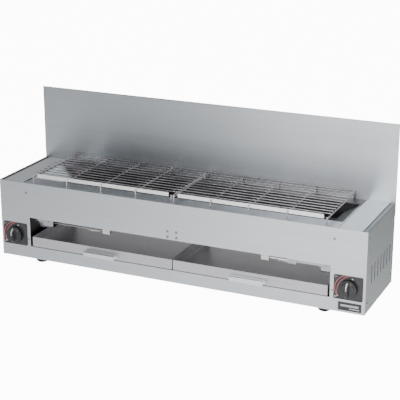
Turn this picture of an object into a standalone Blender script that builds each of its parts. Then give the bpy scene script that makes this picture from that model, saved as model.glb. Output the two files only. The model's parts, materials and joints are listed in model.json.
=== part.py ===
"""Countertop gas charbroiler: two wire grates over two tube burners, with drip pans below.

Metres, +Z up. The origin lies on the counter, under the middle of the whole grill.
+X is the long way, from the left end to the right end as the cook sees them,
and the cook stands on the -Y side.
"""
import math

import bmesh
import bpy
from mathutils import Matrix, Vector

# ---- driving dimensions ---------------------------------------------------------------
LENGTH = 1.200            # outside, along X
DEPTH = 0.280             # front panel's face to the guard's rear face
BODY_TOP = 0.265          # the casing's top, above the counter
GUARD_TOP = 0.505         # the guard's top edge
FOOT_HEIGHT = 0.015       # gap between counter and casing
SHEET = 0.0012            # stainless sheet
GAP = 0.0003              # clearance between two pieces that touch
FOLD = 0.0015             # how much of each fold is rounded off

SIDES = {"left": -1.0, "right": 1.0}
HALF = LENGTH / 2
FRONT = -DEPTH / 2        # the front panel's outer face
REAR = DEPTH / 2          # the guard's rear face
BASE = FOOT_HEIGHT        # underside of the casing

# ---- casing ---------------------------------------------------------------------------
FRONT_FLANGE = 0.015      # folds of the front and rear panels
SIDE_FLANGE = 0.013       # top fold of a side panel
RECESS_X = 0.511          # half length of the opening that the grates lie in
WINDOW_X = 0.495          # half width of the window in the front panel
WINDOW_LOW = BASE + 0.040
WINDOW_HIGH = BASE + 0.136
PANEL_BACK = REAR - SHEET - GAP             # the rear panel's outer face
INSIDE_FRONT = FRONT + SHEET + GAP          # where pieces behind the front panel begin
INSIDE_REAR = PANEL_BACK - SHEET - GAP      # where pieces before the rear panel end
FLOOR_TOP = BASE + 2 * SHEET + GAP
SHELF_TOP = WINDOW_LOW + 0.0002             # the shelf that the pans slide on
PARTITION_X = 0.505
PARTITION_TOP = 0.252
GUARD_LOW = 0.225
GUARD_HEM = 0.015

# ---- hopper under the grates: half length, front edge, rear edge and height of its folds
HOPPER_FOLDS = (
    (0.5110, -0.1235, 0.1355, 0.2635),
    (0.5070, -0.0800, 0.0920, 0.2635),
    (0.4550, -0.0780, 0.0900, 0.2320),
    (0.4550, -0.0780, 0.0900, 0.2000),
    (0.4450, -0.0680, 0.0800, 0.2000),
)
LEDGE_TOP = HOPPER_FOLDS[-1][3]
SKIRT_FRONT, SKIRT_REAR = HOPPER_FOLDS[-2][1:3]
LEDGE_FRONT, LEDGE_REAR = HOPPER_FOLDS[-1][1:3]
FIRE_Y = (SKIRT_FRONT + SKIRT_REAR) / 2     # the middle line of the fire box

# ---- grates ---------------------------------------------------------------------------
GRATE_LENGTH = 0.476
GRATE_GAP = 0.008         # between the end rods of the two grates
GRATE_SHIFT = -0.006      # the pair lies a little left of the middle of the recess
ROD_RADIUS = 0.0020
WIRE_RADIUS = 0.0015
CROSS_RODS = 5
LONG_WIRES = 11
WIRE_FRONT_Y = -0.100
WIRE_PITCH = 0.0228
ROD_TOP = BODY_TOP + 0.030
ROD_Z = ROD_TOP - ROD_RADIUS
WELD_DEPTH = 0.0006       # how far the long wires sink into the cross rods above them
WIRE_Z = ROD_Z - ROD_RADIUS - WIRE_RADIUS + WELD_DEPTH
LEG_FRONT_Y = -0.1215
LEG_REAR_Y = 0.1335
LEG_BEND = 0.006
RIM_Y = -0.1160
RIM_HEIGHT = 0.0125
RIM_THICK = 0.0030
RIM_INSET = 0.025         # the rim bar stops this far inside the end rods

# ---- fire box -------------------------------------------------------------------------
BURNER_Z = 0.170
BURNER_RADIUS = 0.013
BURNER_ARM_Y = 0.045      # each arm's distance from the fire box's middle line
BURNER_INNER_X = 0.012
HEADER_X = 0.465
HEADER_RADIUS = 0.015
HEADER_HALF = 0.060
BOSS_FACE_X = 0.486       # the flat face that the mixing tube meets
RIDGES = 4
RIDGE_RISE = 0.021
RADIANT_INNER_X = 0.006
RADIANT_OUTER_X = 0.444
BEAM_HALF = 0.022
BEAM_TOP = BURNER_Z - BURNER_RADIUS - 0.0005

# ---- gas train, in the compartment at each end ------------------------------------------
KNOB_X = 0.550
KNOB_Z = BASE + 0.074
MIXER_END_X = 0.532
INJECTOR_X = 0.550
MANIFOLD_RADIUS = 0.007
MANIFOLD_Y = 0.100
MANIFOLD_Z = 0.035
INLET_Z = 0.060
INLET_END_Y = 0.166       # as far behind the guard as the knobs stand before the panel
VALVE_FRONT_Y = -0.120
VALVE_REAR_Y = -0.084
VALVE_INLET_Y = -0.080
BONNET_FRONT_Y = -0.133
OUTLET_Y = -0.098         # the tap's outlet to the burner
OUTLET_Z = KNOB_Z + 0.019
PILOT_OUTLET_X = 0.011    # the pilot's outlet, inward of the knob's axis
PILOT_OUTLET_Z = KNOB_Z + 0.018
BORE_DEPTH = 0.026
PILOT_PIPE_RADIUS = 0.0025
PILOT_Y = -0.112
PILOT_Z = 0.135
PILOT_X = {"left": 0.234, "right": 0.289}
PILOT_HALF = 0.012        # half length of a pilot burner's block
BRACKET_X = {"left": 0.449, "right": 0.480}

# ---- controls -------------------------------------------------------------------------
DIAL_WIDTH = 0.086
DIAL_HEIGHT = 0.073
DIAL_Z = BASE + 0.0765
DIAL_THICK = 0.0015
KNOB_BACK_Y = -0.147
KNOB_FRONT_Y = -INLET_END_Y
KNOB_RADIUS = 0.0265
SPINDLE_RADIUS = 0.004
SPINDLE_HOLE = 0.008      # radius of its hole through the panel and the dial plate
PLUNGER_RADIUS = 0.0062
PLUNGER_LENGTH = 0.014

# ---- drip pans ------------------------------------------------------------------------
PAN_INNER_X = 0.001
PAN_OUTER_X = 0.489
PAN_FRONT = FRONT + 0.0003
PAN_REAR = 0.125
PAN_LOW = WINDOW_LOW + 0.0005
PAN_HIGH = WINDOW_LOW + 0.0335
HANDLE_LENGTH = 0.106
HANDLE_DEPTH = 0.021
HANDLE_TOP = BASE + 0.061
HANDLE_LIP = 0.015
HANDLE_X = {"left": -0.240, "right": 0.246}


# ---- materials ------------------------------------------------------------------------
def finish(name, colour, roughness, metallic):
    """A Principled material of one colour."""
    material = bpy.data.materials.new(name)
    material.use_nodes = True
    shader = material.node_tree.nodes["Principled BSDF"]
    shader.inputs["Base Color"].default_value = (*colour, 1.0)
    shader.inputs["Roughness"].default_value = roughness
    shader.inputs["Metallic"].default_value = metallic
    material.diffuse_color = (*colour, 1.0)
    return material


# ---- small tools ----------------------------------------------------------------------
def add_object(name, data, surface, parent=None, location=(0.0, 0.0, 0.0)):
    """Link an object that holds the given mesh or curve."""
    obj = bpy.data.objects.new(name, data)
    bpy.context.collection.objects.link(obj)
    obj.location = location
    obj.parent = parent
    if surface is not None:
        data.materials.append(surface)
    return obj


def mesh_from(name, bm):
    """Turn a bmesh into a mesh with all faces pointing out."""
    bmesh.ops.recalc_face_normals(bm, faces=bm.faces)
    mesh = bpy.data.meshes.new(name)
    bm.to_mesh(mesh)
    bm.free()
    return mesh


def joint_axis(name, location):
    """An empty on a joint's axis, for the pieces that move about it."""
    empty = bpy.data.objects.new(name, None)
    bpy.context.collection.objects.link(empty)
    empty.location = location
    return empty


def add_box(bm, low, high):
    """Add a box between two corners, given in any order."""
    size = [abs(b - a) for a, b in zip(low, high)]
    middle = [(a + b) / 2 for a, b in zip(low, high)]
    matrix = Matrix.Translation(middle) @ Matrix.Diagonal((*size, 1.0))
    return bmesh.ops.create_cube(bm, size=1.0, matrix=matrix)["verts"]


def add_rod(bm, start, end, radius, sides=16, end_radius=None):
    """Add a straight round bar, or a cone if its end has another radius."""
    start, end = Vector(start), Vector(end)
    along = end - start
    turn = along.to_track_quat("Z", "Y").to_matrix().to_4x4()
    matrix = Matrix.Translation((start + end) / 2) @ turn
    bmesh.ops.create_cone(
        bm, cap_ends=True, segments=sides, radius1=radius,
        radius2=radius if end_radius is None else end_radius,
        depth=along.length, matrix=matrix)


def solid(name, build, surface, parent=None, location=(0.0, 0.0, 0.0), smooth=False):
    """An object whose mesh is made by build(bm)."""
    bm = bmesh.new()
    build(bm)
    mesh = mesh_from(name, bm)
    if smooth:
        round_off(mesh)
    return add_object(name, mesh, surface, parent, location)


def round_off(mesh):
    """Shade the round faces smooth and keep the sharp rims."""
    mesh.shade_smooth()
    mesh.set_sharp_from_angle(angle=math.radians(35))


def combine(obj, operation, build):
    """Cut a shape out of an object, or weld one on to it."""
    tool = solid(f"{obj.name}_{operation.lower()}", build, None, obj.parent, obj.location)
    tool.hide_render = True
    tool.display_type = "WIRE"
    boolean = obj.modifiers.new(operation.title(), "BOOLEAN")
    boolean.operation = operation
    boolean.solver = "EXACT"
    boolean.object = tool
    return obj


def cut(obj, build):
    return combine(obj, "DIFFERENCE", build)


def weld(obj, build):
    return combine(obj, "UNION", build)


def bent_sheet(name, profile, axis, start, end, surface, parent=None,
               location=(0.0, 0.0, 0.0), fold=FOLD, segments=2):
    """Fold a sheet along a profile and draw it out along X or Y.

    The profile lies in YZ for axis X and in XZ for axis Y. Its points are on the outer
    face, which turns to the left of +Y for axis X, and the metal lies behind that face.
    """
    def corner(point, along):
        return (along, *point) if axis == "X" else (point[0], along, point[1])

    bm = bmesh.new()
    near = [bm.verts.new(corner(point, start)) for point in profile]
    far = [bm.verts.new(corner(point, end)) for point in profile]
    for i in range(len(profile) - 1):
        bm.faces.new((near[i], near[i + 1], far[i + 1], far[i]))
    folds = [bm.edges.get((near[i], far[i])) for i in range(1, len(profile) - 1)]
    if folds:
        bmesh.ops.bevel(bm, geom=folds, offset=fold, segments=segments, profile=0.5,
                        affect="EDGES")
    mesh = bpy.data.meshes.new(name)
    bm.to_mesh(mesh)
    bm.free()
    obj = add_object(name, mesh, surface, parent, location)
    thicken(obj)
    return obj


def thicken(obj):
    """Give an open surface its metal, behind its face."""
    solidify = obj.modifiers.new("Sheet", "SOLIDIFY")
    solidify.thickness = SHEET
    solidify.offset = -1.0
    solidify.use_even_offset = True


def turned(name, profile, direction, surface, parent=None, location=(0.0, 0.0, 0.0),
           steps=16):
    """Turn a closed outline of (distance along, radius) about an axis through location."""
    bm = bmesh.new()
    ring = [bm.verts.new((radius, 0.0, along)) for along, radius in profile]
    edges = [bm.edges.new((ring[i], ring[(i + 1) % len(ring)])) for i in range(len(ring))]
    bmesh.ops.spin(bm, geom=ring + edges, cent=(0, 0, 0), axis=(0, 0, 1), dvec=(0, 0, 0),
                   angle=math.tau, steps=steps, use_merge=True)
    bmesh.ops.remove_doubles(bm, verts=bm.verts, dist=0.00001)
    turn = Vector(direction).to_track_quat("Z", "Y").to_matrix().to_4x4()
    bmesh.ops.transform(bm, matrix=turn, verts=bm.verts)
    mesh = mesh_from(name, bm)
    round_off(mesh)
    return add_object(name, mesh, surface, parent, location)


def with_bends(points, radius, steps=3):
    """Round each inner corner of a route with an arc of the given reach."""
    points = [Vector(point) for point in points]
    route = [points[0]]
    for before, here, after in zip(points, points[1:], points[2:]):
        enter = here + (before - here).normalized() * radius
        leave = here + (after - here).normalized() * radius
        for step in range(steps + 1):
            t = step / steps
            route.append((1 - t) ** 2 * enter + 2 * t * (1 - t) * here + t ** 2 * leave)
    route.append(points[-1])
    return route


def pipe_curve(name, route, radius, resolution):
    """A round pipe with closed ends along a route."""
    curve = bpy.data.curves.new(name, "CURVE")
    curve.dimensions = "3D"
    curve.bevel_depth = radius
    curve.bevel_resolution = resolution
    curve.use_fill_caps = True
    spline = curve.splines.new("POLY")
    spline.points.add(len(route) - 1)
    for slot, point in zip(spline.points, route):
        slot.co = (*point, 1.0)
    return curve


def pipe(name, points, radius, bend, surface, resolution=2):
    """A bent pipe as an object."""
    return add_object(name, pipe_curve(name, with_bends(points, bend), radius, resolution),
                      surface)


# ---- casing ---------------------------------------------------------------------------
def make_front_panel(steel):
    """One sheet with the window for the pans, folded in at the top and the bottom."""
    profile = ((FRONT + FRONT_FLANGE, BODY_TOP), (FRONT, BODY_TOP),
               (FRONT, BASE), (FRONT + FRONT_FLANGE, BASE))
    panel = bent_sheet("front_panel", profile, "X", -HALF, HALF, steel)

    def openings(bm):
        add_box(bm, (-WINDOW_X, FRONT - 0.01, WINDOW_LOW),
                (WINDOW_X, FRONT + 0.005, WINDOW_HIGH))
        for side in SIDES.values():
            add_rod(bm, (side * KNOB_X, FRONT - 0.01, KNOB_Z),
                    (side * KNOB_X, FRONT + 0.01, KNOB_Z), SPINDLE_HOLE, sides=16)
            for inner, low, high in ((RECESS_X, BODY_TOP - 0.008, BODY_TOP + 0.01),
                                     (HALF - FRONT_FLANGE, BASE - 0.01, BASE + 0.008)):
                add_box(bm, (side * inner, FRONT + SHEET, low),
                        (side * (HALF + 0.01), FRONT + FRONT_FLANGE + 0.01, high))

    return cut(panel, openings)


def make_side_panel(side, sign, steel):
    """A side sheet with its top and bottom folds and a row of upright cooling slots."""
    slots = 7
    slot_pitch = 0.0307
    slot_middle_y = 0.006
    slot_width = 0.0055
    slot_low = BASE + 0.079
    slot_high = BASE + 0.135
    profile = [(sign * (HALF - SIDE_FLANGE), BODY_TOP), (sign * HALF, BODY_TOP),
               (sign * HALF, BASE), (sign * (HALF - SIDE_FLANGE), BASE)]
    if sign < 0:
        profile.reverse()
    panel = bent_sheet(f"{side}_side_panel", profile, "Y", INSIDE_FRONT, INSIDE_REAR, steel)

    def slot_row(bm):
        for i in range(slots):
            y = slot_middle_y + slot_pitch * (i - (slots - 1) / 2)
            add_box(bm, (sign * (HALF - 0.005), y - slot_width / 2, slot_low),
                    (sign * (HALF + 0.005), y + slot_width / 2, slot_high))

    return cut(panel, slot_row)


def make_rear_panel(steel):
    """The casing's back, with the hole for the gas inlet."""
    profile = ((PANEL_BACK - FRONT_FLANGE, BASE), (PANEL_BACK, BASE),
               (PANEL_BACK, BODY_TOP - 0.001))
    panel = bent_sheet("rear_panel", profile, "X", -HALF, HALF, steel)

    def openings(bm):
        add_rod(bm, (KNOB_X, PANEL_BACK - 0.02, INLET_Z), (KNOB_X, PANEL_BACK + 0.02, INLET_Z),
                0.0135, sides=16)
        for side in SIDES.values():
            add_box(bm, (side * (HALF - FRONT_FLANGE), PANEL_BACK - SHEET, BASE - 0.01),
                    (side * (HALF + 0.01), PANEL_BACK - FRONT_FLANGE - 0.01, BASE + 0.008))

    return cut(panel, openings)


def make_bottom_panel(steel):
    """The flat bottom, which lies on the folds of the panels round it."""
    def sheet(bm):
        add_box(bm, (-(HALF - SHEET - GAP), INSIDE_FRONT, BASE + SHEET + GAP),
                (HALF - SHEET - GAP, INSIDE_REAR, FLOOR_TOP))

    return solid("bottom_panel", sheet, steel)


def make_pan_shelf(steel):
    """The raised floor that both pans slide on, folded down at its ends."""
    half = PARTITION_X - SHEET
    drop = 0.009
    profile = ((-half, SHELF_TOP - drop), (-half, SHELF_TOP), (half, SHELF_TOP),
               (half, SHELF_TOP - drop))
    return bent_sheet("pan_shelf", profile, "Y", INSIDE_FRONT, INSIDE_REAR, steel)


def make_deck(side, sign, steel):
    """The lid of an end compartment, folded down along both long edges."""
    drop = 0.012
    line = 0.002              # the open line along each long edge
    inner = sign * (RECESS_X + line)
    outer = sign * (HALF - SIDE_FLANGE - line)
    left, right = sorted((inner, outer))
    profile = ((left, BODY_TOP - drop), (left, BODY_TOP), (right, BODY_TOP),
               (right, BODY_TOP - drop))
    return bent_sheet(f"{side}_deck", profile, "Y", INSIDE_FRONT, INSIDE_REAR, steel)


def make_partition(side, sign, steel):
    """The wall between the fire box and the gas train, with a hole for each pipe."""
    foot_gap = FLOOR_TOP + GAP
    profile = [(sign * (PARTITION_X + 0.015), PARTITION_TOP), (sign * PARTITION_X, PARTITION_TOP),
               (sign * PARTITION_X, foot_gap)]
    if sign > 0:
        profile.reverse()
    wall = bent_sheet(f"{side}_partition", profile, "Y", INSIDE_FRONT, INSIDE_REAR, steel)

    def pipe_holes(bm):
        holes = ((FIRE_Y, BURNER_Z, 0.0185), (MANIFOLD_Y, MANIFOLD_Z, 0.009),
                 (PILOT_Y, PILOT_Z, 0.0045))
        for y, z, radius in holes:
            add_rod(bm, (sign * (PARTITION_X - 0.01), y, z), (sign * (PARTITION_X + 0.01), y, z),
                    radius, sides=16)

    return cut(wall, pipe_holes)


def make_back_guard(steel):
    """The tall splash guard, screwed to the rear panel, with its top edge folded back."""
    fold_back = 0.0026
    top = GUARD_TOP - SHEET
    profile = ((REAR, GUARD_LOW), (REAR, top), (REAR + fold_back, top),
               (REAR + fold_back, top - GUARD_HEM))
    return bent_sheet("back_guard", profile, "X", -HALF, HALF, steel, fold=0.0006)


def make_baffles(steel):
    """The four sloping sheets of the hopper, mitred at its corners."""
    mitre = 0.0004
    names = ("front_baffle", "right_baffle", "rear_baffle", "left_baffle")

    def corners(fold):
        half, front, rear, z = fold
        return [Vector((-half, front, z)), Vector((half, front, z)),
                Vector((half, rear, z)), Vector((-half, rear, z))]

    for i, name in enumerate(names):
        bm = bmesh.new()
        rows = []
        for fold in HOPPER_FOLDS:
            ring = corners(fold)
            start, end = ring[i], ring[(i + 1) % 4]
            step = (end - start).normalized() * mitre
            rows.append((bm.verts.new(start + step), bm.verts.new(end - step)))
        for upper, lower in zip(rows, rows[1:]):
            bm.faces.new((upper[0], upper[1], lower[1], lower[0]))
        mesh = bpy.data.meshes.new(name)
        bm.to_mesh(mesh)
        bm.free()
        thicken(add_object(name, mesh, steel))


def make_foot(name, x, y, rubber):
    """A round rubber foot, a little narrower where it meets the counter."""
    top = BASE + SHEET
    profile = ((0.0, 0.0), (0.0, 0.0155), (0.0015, 0.0170), (0.011, 0.0180),
               (top, 0.0180), (top, 0.0))
    return turned(name, profile, (0, 0, 1), rubber, location=(x, y, 0.0), steps=20)


def make_centre_beam(steel):
    """The channel under the inner ends of the burners, hung on the front panel."""
    drop = 0.0065
    tab_half = 0.024
    tab_high = 0.190
    profile = ((-BEAM_HALF, BEAM_TOP - drop), (-BEAM_HALF, BEAM_TOP), (BEAM_HALF, BEAM_TOP),
               (BEAM_HALF, BEAM_TOP - drop))
    beam = bent_sheet("centre_beam", profile, "Y", INSIDE_FRONT + 0.0005, INSIDE_REAR, steel)

    def tab(bm):
        add_box(bm, (-tab_half, INSIDE_FRONT, BEAM_TOP - drop),
                (tab_half, INSIDE_FRONT + SHEET, tab_high))

    return weld(beam, tab)


# ---- grates and fire box --------------------------------------------------------------
def grate_ends(sign):
    """X of a grate's inner and outer end rods."""
    inner = GRATE_SHIFT + sign * GRATE_GAP / 2
    return inner, inner + sign * GRATE_LENGTH


def make_grate(side, sign, steel):
    """A wire grate: bent cross rods that stand on the hopper, long wires and a rim bar."""
    inner, outer = grate_ends(sign)
    middle = (inner + outer) / 2
    parent = joint_axis(f"{side}_grate_lift", (middle, 0.0, ROD_Z))
    half = GRATE_LENGTH / 2
    overhang = 0.0035         # the long wires pass the end rods by this much
    foot = HOPPER_FOLDS[0][3] + GAP - ROD_Z
    wire_z = WIRE_Z - ROD_Z

    def wires(bm):
        for i in range(LONG_WIRES):
            y = WIRE_FRONT_Y + WIRE_PITCH * i
            add_rod(bm, (-half - overhang, y, wire_z), (half + overhang, y, wire_z),
                    WIRE_RADIUS, sides=6)
        rim_top = wire_z + WIRE_RADIUS
        add_box(bm, (-half + RIM_INSET, RIM_Y - RIM_THICK / 2, rim_top - RIM_HEIGHT),
                (half - RIM_INSET, RIM_Y + RIM_THICK / 2, rim_top))

    def rods(bm):
        for i in range(CROSS_RODS):
            x = -half + GRATE_LENGTH * i / (CROSS_RODS - 1)
            corners = ((x, LEG_FRONT_Y, foot), (x, LEG_FRONT_Y, 0.0), (x, LEG_REAR_Y, 0.0),
                       (x, LEG_REAR_Y, foot))
            route = with_bends(corners, LEG_BEND, steps=2)
            curve = pipe_curve("rod_guide", route, ROD_RADIUS, 1)
            guide = bpy.data.objects.new("rod_guide", curve)
            rod_mesh = bpy.data.meshes.new_from_object(guide)
            bm.from_mesh(rod_mesh)
            bpy.data.objects.remove(guide)
            bpy.data.curves.remove(curve)
            bpy.data.meshes.remove(rod_mesh)

    grate = solid(f"{side}_grate", wires, steel, parent)
    return weld(grate, rods)


def make_radiant(side, sign, steel):
    """A folded plate that glows over the burner, with slots along its valleys."""
    edge = 0.002              # clearance to the hopper's skirt
    rest = LEDGE_TOP + GAP + SHEET
    pitch = (LEDGE_REAR - LEDGE_FRONT) / RIDGES
    profile = [(SKIRT_REAR - edge, rest)]
    for i in range(2 * RIDGES + 1):
        z = rest + (RIDGE_RISE if i % 2 else 0.0)
        profile.append((LEDGE_REAR - pitch * i / 2, z))
    profile.append((SKIRT_FRONT + edge, rest))
    left, right = sorted((sign * RADIANT_INNER_X, sign * RADIANT_OUTER_X))
    plate = bent_sheet(f"{side}_radiant", profile, "X", left, right, steel, fold=0.002,
                       segments=1)

    def slots(bm):
        per_valley = 3
        slot_length = 0.110
        slot_width = 0.009
        for valley in range(1, RIDGES):
            y = LEDGE_REAR - pitch * valley
            for i in range(per_valley):
                x = left + (right - left) * (i + 0.5) / per_valley
                add_box(bm, (x - slot_length / 2, y - slot_width / 2, rest - 0.01),
                        (x + slot_length / 2, y + slot_width / 2, rest + 0.01))

    return cut(plate, slots)


def make_burner(side, sign, cast_iron):
    """Two burner arms on one header, with slotted flame ports along the top."""
    boss_radius = HEADER_RADIUS - 0.0005

    def header(bm):
        x = sign * HEADER_X
        add_rod(bm, (x, FIRE_Y - HEADER_HALF, BURNER_Z), (x, FIRE_Y + HEADER_HALF, BURNER_Z),
                HEADER_RADIUS, sides=16)

    def arms(bm):
        for arm in (-BURNER_ARM_Y, BURNER_ARM_Y):
            add_rod(bm, (sign * BURNER_INNER_X, FIRE_Y + arm, BURNER_Z),
                    (sign * HEADER_X, FIRE_Y + arm, BURNER_Z), BURNER_RADIUS, sides=12)
        add_rod(bm, (sign * (HEADER_X + 0.005), FIRE_Y, BURNER_Z),
                (sign * BOSS_FACE_X, FIRE_Y, BURNER_Z), boss_radius, sides=20)

    def ports(bm):
        count = 6
        half_length = 0.020
        first, last = 0.050, 0.420
        for arm in (-BURNER_ARM_Y, BURNER_ARM_Y):
            for i in range(count):
                x = sign * (first + (last - first) * i / (count - 1))
                add_box(bm, (x - half_length, FIRE_Y + arm - 0.001, BURNER_Z + 0.010),
                        (x + half_length, FIRE_Y + arm + 0.001, BURNER_Z + 0.016))

    burner = solid(f"{side}_burner", header, cast_iron, smooth=True)
    return cut(weld(burner, arms), ports)


def make_burner_bracket(side, sign, steel):
    """A strap that hangs behind the front panel and carries the burner's header."""
    half = 0.022
    face = INSIDE_FRONT
    cradle = BURNER_Z - HEADER_RADIUS - GAP - SHEET
    low = 0.117
    profile = ((face, 0.200), (face, WINDOW_HIGH + 0.004), (-0.116, low), (-0.076, low),
               (-0.052, cradle), (FIRE_Y + HEADER_HALF, cradle))
    x = sign * BRACKET_X[side]
    left, right = x - half, min(x + half, PARTITION_X - 2 * SHEET)
    return bent_sheet(f"{side}_burner_bracket", profile, "X", left, right, steel)


# ---- gas train ------------------------------------------------------------------------
def make_mixing_tube(side, sign, cast_iron):
    """The venturi that draws air in with the gas, with a bell mouth at its outer end."""
    length = MIXER_END_X - BOSS_FACE_X - GAP
    outline = ((0.0, 0.0145), (0.005, 0.0145), (0.008, 0.0125), (0.022, 0.0115),
               (0.036, 0.0150), (length, 0.0168), (length, 0.0148), (0.036, 0.0130),
               (0.022, 0.0095), (0.0, 0.0105))
    start = sign * (BOSS_FACE_X + GAP)
    return turned(f"{side}_mixing_tube", outline, (sign, 0, 0), cast_iron,
                  location=(start, FIRE_Y, BURNER_Z))


def make_air_shutter(side, sign, steel):
    """A cap that turns on the bell mouth to open or close its air windows."""
    rim_back = -0.008
    face = 0.0014
    window_ring = 0.0115      # the air windows' distance from the axis
    window_radius = 0.0040
    outline = ((rim_back, 0.0173), (0.0003, 0.0173), (0.0003, 0.0055), (face, 0.0055),
               (face, 0.0185), (rim_back, 0.0185))
    parent = joint_axis(f"{side}_shutter_axis", (sign * MIXER_END_X, FIRE_Y, BURNER_Z))
    cap = turned(f"{side}_air_shutter", outline, (sign, 0, 0), steel, parent)

    def windows(bm):
        for i in range(3):
            angle = math.tau * i / 3
            y, z = window_ring * math.cos(angle), window_ring * math.sin(angle)
            add_rod(bm, (-0.004, y, z), (0.004, y, z), window_radius, sides=10)

    return cut(cap, windows)


def make_injector(side, sign, brass):
    """The holder of the gas jet, with its nozzle pointing into the mixing tube."""
    half = 0.008
    nozzle_tip = 0.0135
    hexagon_end = 0.014
    overlap = 0.005           # how far the welded shapes start inside the holder
    x = sign * INJECTOR_X

    def holder(bm):
        add_box(bm, (x - half, FIRE_Y - half, BURNER_Z - half),
                (x + half, FIRE_Y + half, BURNER_Z + half))

    def nozzle(bm):
        for end, radius, end_radius, sides in ((-nozzle_tip, 0.0045, 0.0025, 16),
                                               (hexagon_end, 0.0065, 0.0065, 6)):
            start = math.copysign(overlap, end)
            add_rod(bm, (x + sign * start, FIRE_Y, BURNER_Z), (x + sign * end, FIRE_Y, BURNER_Z),
                    radius, sides, end_radius)

    return weld(solid(f"{side}_injector", holder, brass), nozzle)


def make_valve_body(side, sign, brass):
    """The gas tap's body, bored from the front for its plunger and spindle."""
    x = sign * KNOB_X
    half_width, half_height = 0.017, 0.015
    overlap = 0.004           # how far a boss starts inside the block
    top = KNOB_Z + half_height - overlap

    def block(bm):
        add_box(bm, (x - half_width, VALVE_FRONT_Y, KNOB_Z - half_height),
                (x + half_width, VALVE_REAR_Y, KNOB_Z + half_height))

    def bosses(bm):
        add_rod(bm, (x, BONNET_FRONT_Y, KNOB_Z), (x, VALVE_FRONT_Y + overlap, KNOB_Z), 0.011)
        add_rod(bm, (x, VALVE_REAR_Y - overlap, KNOB_Z), (x, VALVE_INLET_Y, KNOB_Z), 0.0095)
        add_rod(bm, (x, OUTLET_Y, top), (x, OUTLET_Y, OUTLET_Z), 0.0065, sides=6)
        pilot_x = x - sign * PILOT_OUTLET_X
        add_rod(bm, (pilot_x, PILOT_Y, top), (pilot_x, PILOT_Y, PILOT_OUTLET_Z), 0.0045, sides=6)

    def bore(bm):
        add_rod(bm, (x, BONNET_FRONT_Y - 0.005, KNOB_Z),
                (x, BONNET_FRONT_Y + BORE_DEPTH, KNOB_Z), PLUNGER_RADIUS + GAP)

    body = solid(f"{side}_valve_body", block, brass)
    return cut(weld(body, bosses), bore)


def make_plunger(side, parent, brass):
    """The sleeve in the tap that the knob pushes in against its spring."""
    inner = SPINDLE_RADIUS + GAP
    outline = ((0.0, inner), (0.0, PLUNGER_RADIUS), (PLUNGER_LENGTH, PLUNGER_RADIUS),
               (PLUNGER_LENGTH, inner))
    return turned(f"{side}_valve_plunger", outline, (0, 1, 0), brass, parent,
                  location=(0.0, BONNET_FRONT_Y + 0.001 - KNOB_BACK_Y, 0.0))


def make_spindle(side, parent, steel):
    """The tap's spindle, with the flat that the knob grips."""
    front = -0.015            # inside the knob
    back = 0.035              # inside the tap

    def shaft(bm):
        add_rod(bm, (0.0, front, 0.0), (0.0, back, 0.0), SPINDLE_RADIUS, sides=20)

    def flat(bm):
        add_box(bm, (-0.006, front - 0.002, 0.0028), (0.006, front + 0.014, 0.008))

    return cut(solid(f"{side}_valve_spindle", shaft, steel, parent, smooth=True), flat)


def make_knob(side, parent, plastic):
    """A round knob with an upright grip across it, bored at the back for the spindle."""
    depth = KNOB_BACK_Y - KNOB_FRONT_Y
    skirt = 0.006
    grip_half = 0.0068

    def disc(bm):
        add_rod(bm, (0, 0, 0), (0, -skirt, 0), KNOB_RADIUS, sides=32)
        add_rod(bm, (0, -skirt, 0), (0, -skirt - 0.004, 0), KNOB_RADIUS, sides=32,
                end_radius=KNOB_RADIUS - 0.004)
        bmesh.ops.remove_doubles(bm, verts=bm.verts, dist=0.00001)
        inner = [f for f in bm.faces if len(f.verts) > 4
                 and abs(f.calc_center_median().y + skirt) < 0.0005]
        bmesh.ops.delete(bm, geom=inner, context="FACES")

    def grip(bm):
        verts = add_box(bm, (-grip_half, -skirt, -KNOB_RADIUS + 0.002),
                        (grip_half, -depth, KNOB_RADIUS - 0.002))
        for vert in verts:
            if vert.co.y < -depth / 2:
                vert.co.x *= 0.72
                vert.co.z *= 0.90
        bmesh.ops.bevel(bm, geom=list(bm.edges), offset=0.0015, segments=2, profile=0.5,
                        affect="EDGES")

    def bore(bm):
        add_rod(bm, (0, 0.002, 0), (0, -0.016, 0), SPINDLE_RADIUS + GAP, sides=20)

    knob = solid(f"{side}_knob", disc, plastic, parent, smooth=True)
    return cut(weld(knob, grip), bore)


def make_controls(side, sign, brass, steel, plastic):
    """A tap's moving pieces: the plunger slides, the knob and spindle turn in it."""
    push = joint_axis(f"{side}_push_axis", (sign * KNOB_X, KNOB_BACK_Y, KNOB_Z))
    make_plunger(side, push, brass)
    turn = joint_axis(f"{side}_turn_axis", (0.0, 0.0, 0.0))
    turn.parent = push
    make_spindle(side, turn, steel)
    make_knob(side, turn, plastic)


def make_dial_plate(side, sign, plastic):
    """The dark plate behind a knob."""
    x = sign * (KNOB_X - 0.0005)

    def plate(bm):
        back = FRONT - GAP
        add_box(bm, (x - DIAL_WIDTH / 2, back - DIAL_THICK, DIAL_Z - DIAL_HEIGHT / 2),
                (x + DIAL_WIDTH / 2, back, DIAL_Z + DIAL_HEIGHT / 2))
        upright = [e for e in bm.edges if abs(e.verts[0].co.y - e.verts[1].co.y) > 0.001]
        bmesh.ops.bevel(bm, geom=upright, offset=0.002, segments=2, profile=0.5,
                        affect="EDGES")

    def hole(bm):
        add_rod(bm, (sign * KNOB_X, FRONT - 0.01, KNOB_Z), (sign * KNOB_X, FRONT + 0.01, KNOB_Z),
                SPINDLE_HOLE, sides=16)

    return cut(solid(f"{side}_dial_plate", plate, plastic), hole)


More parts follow.
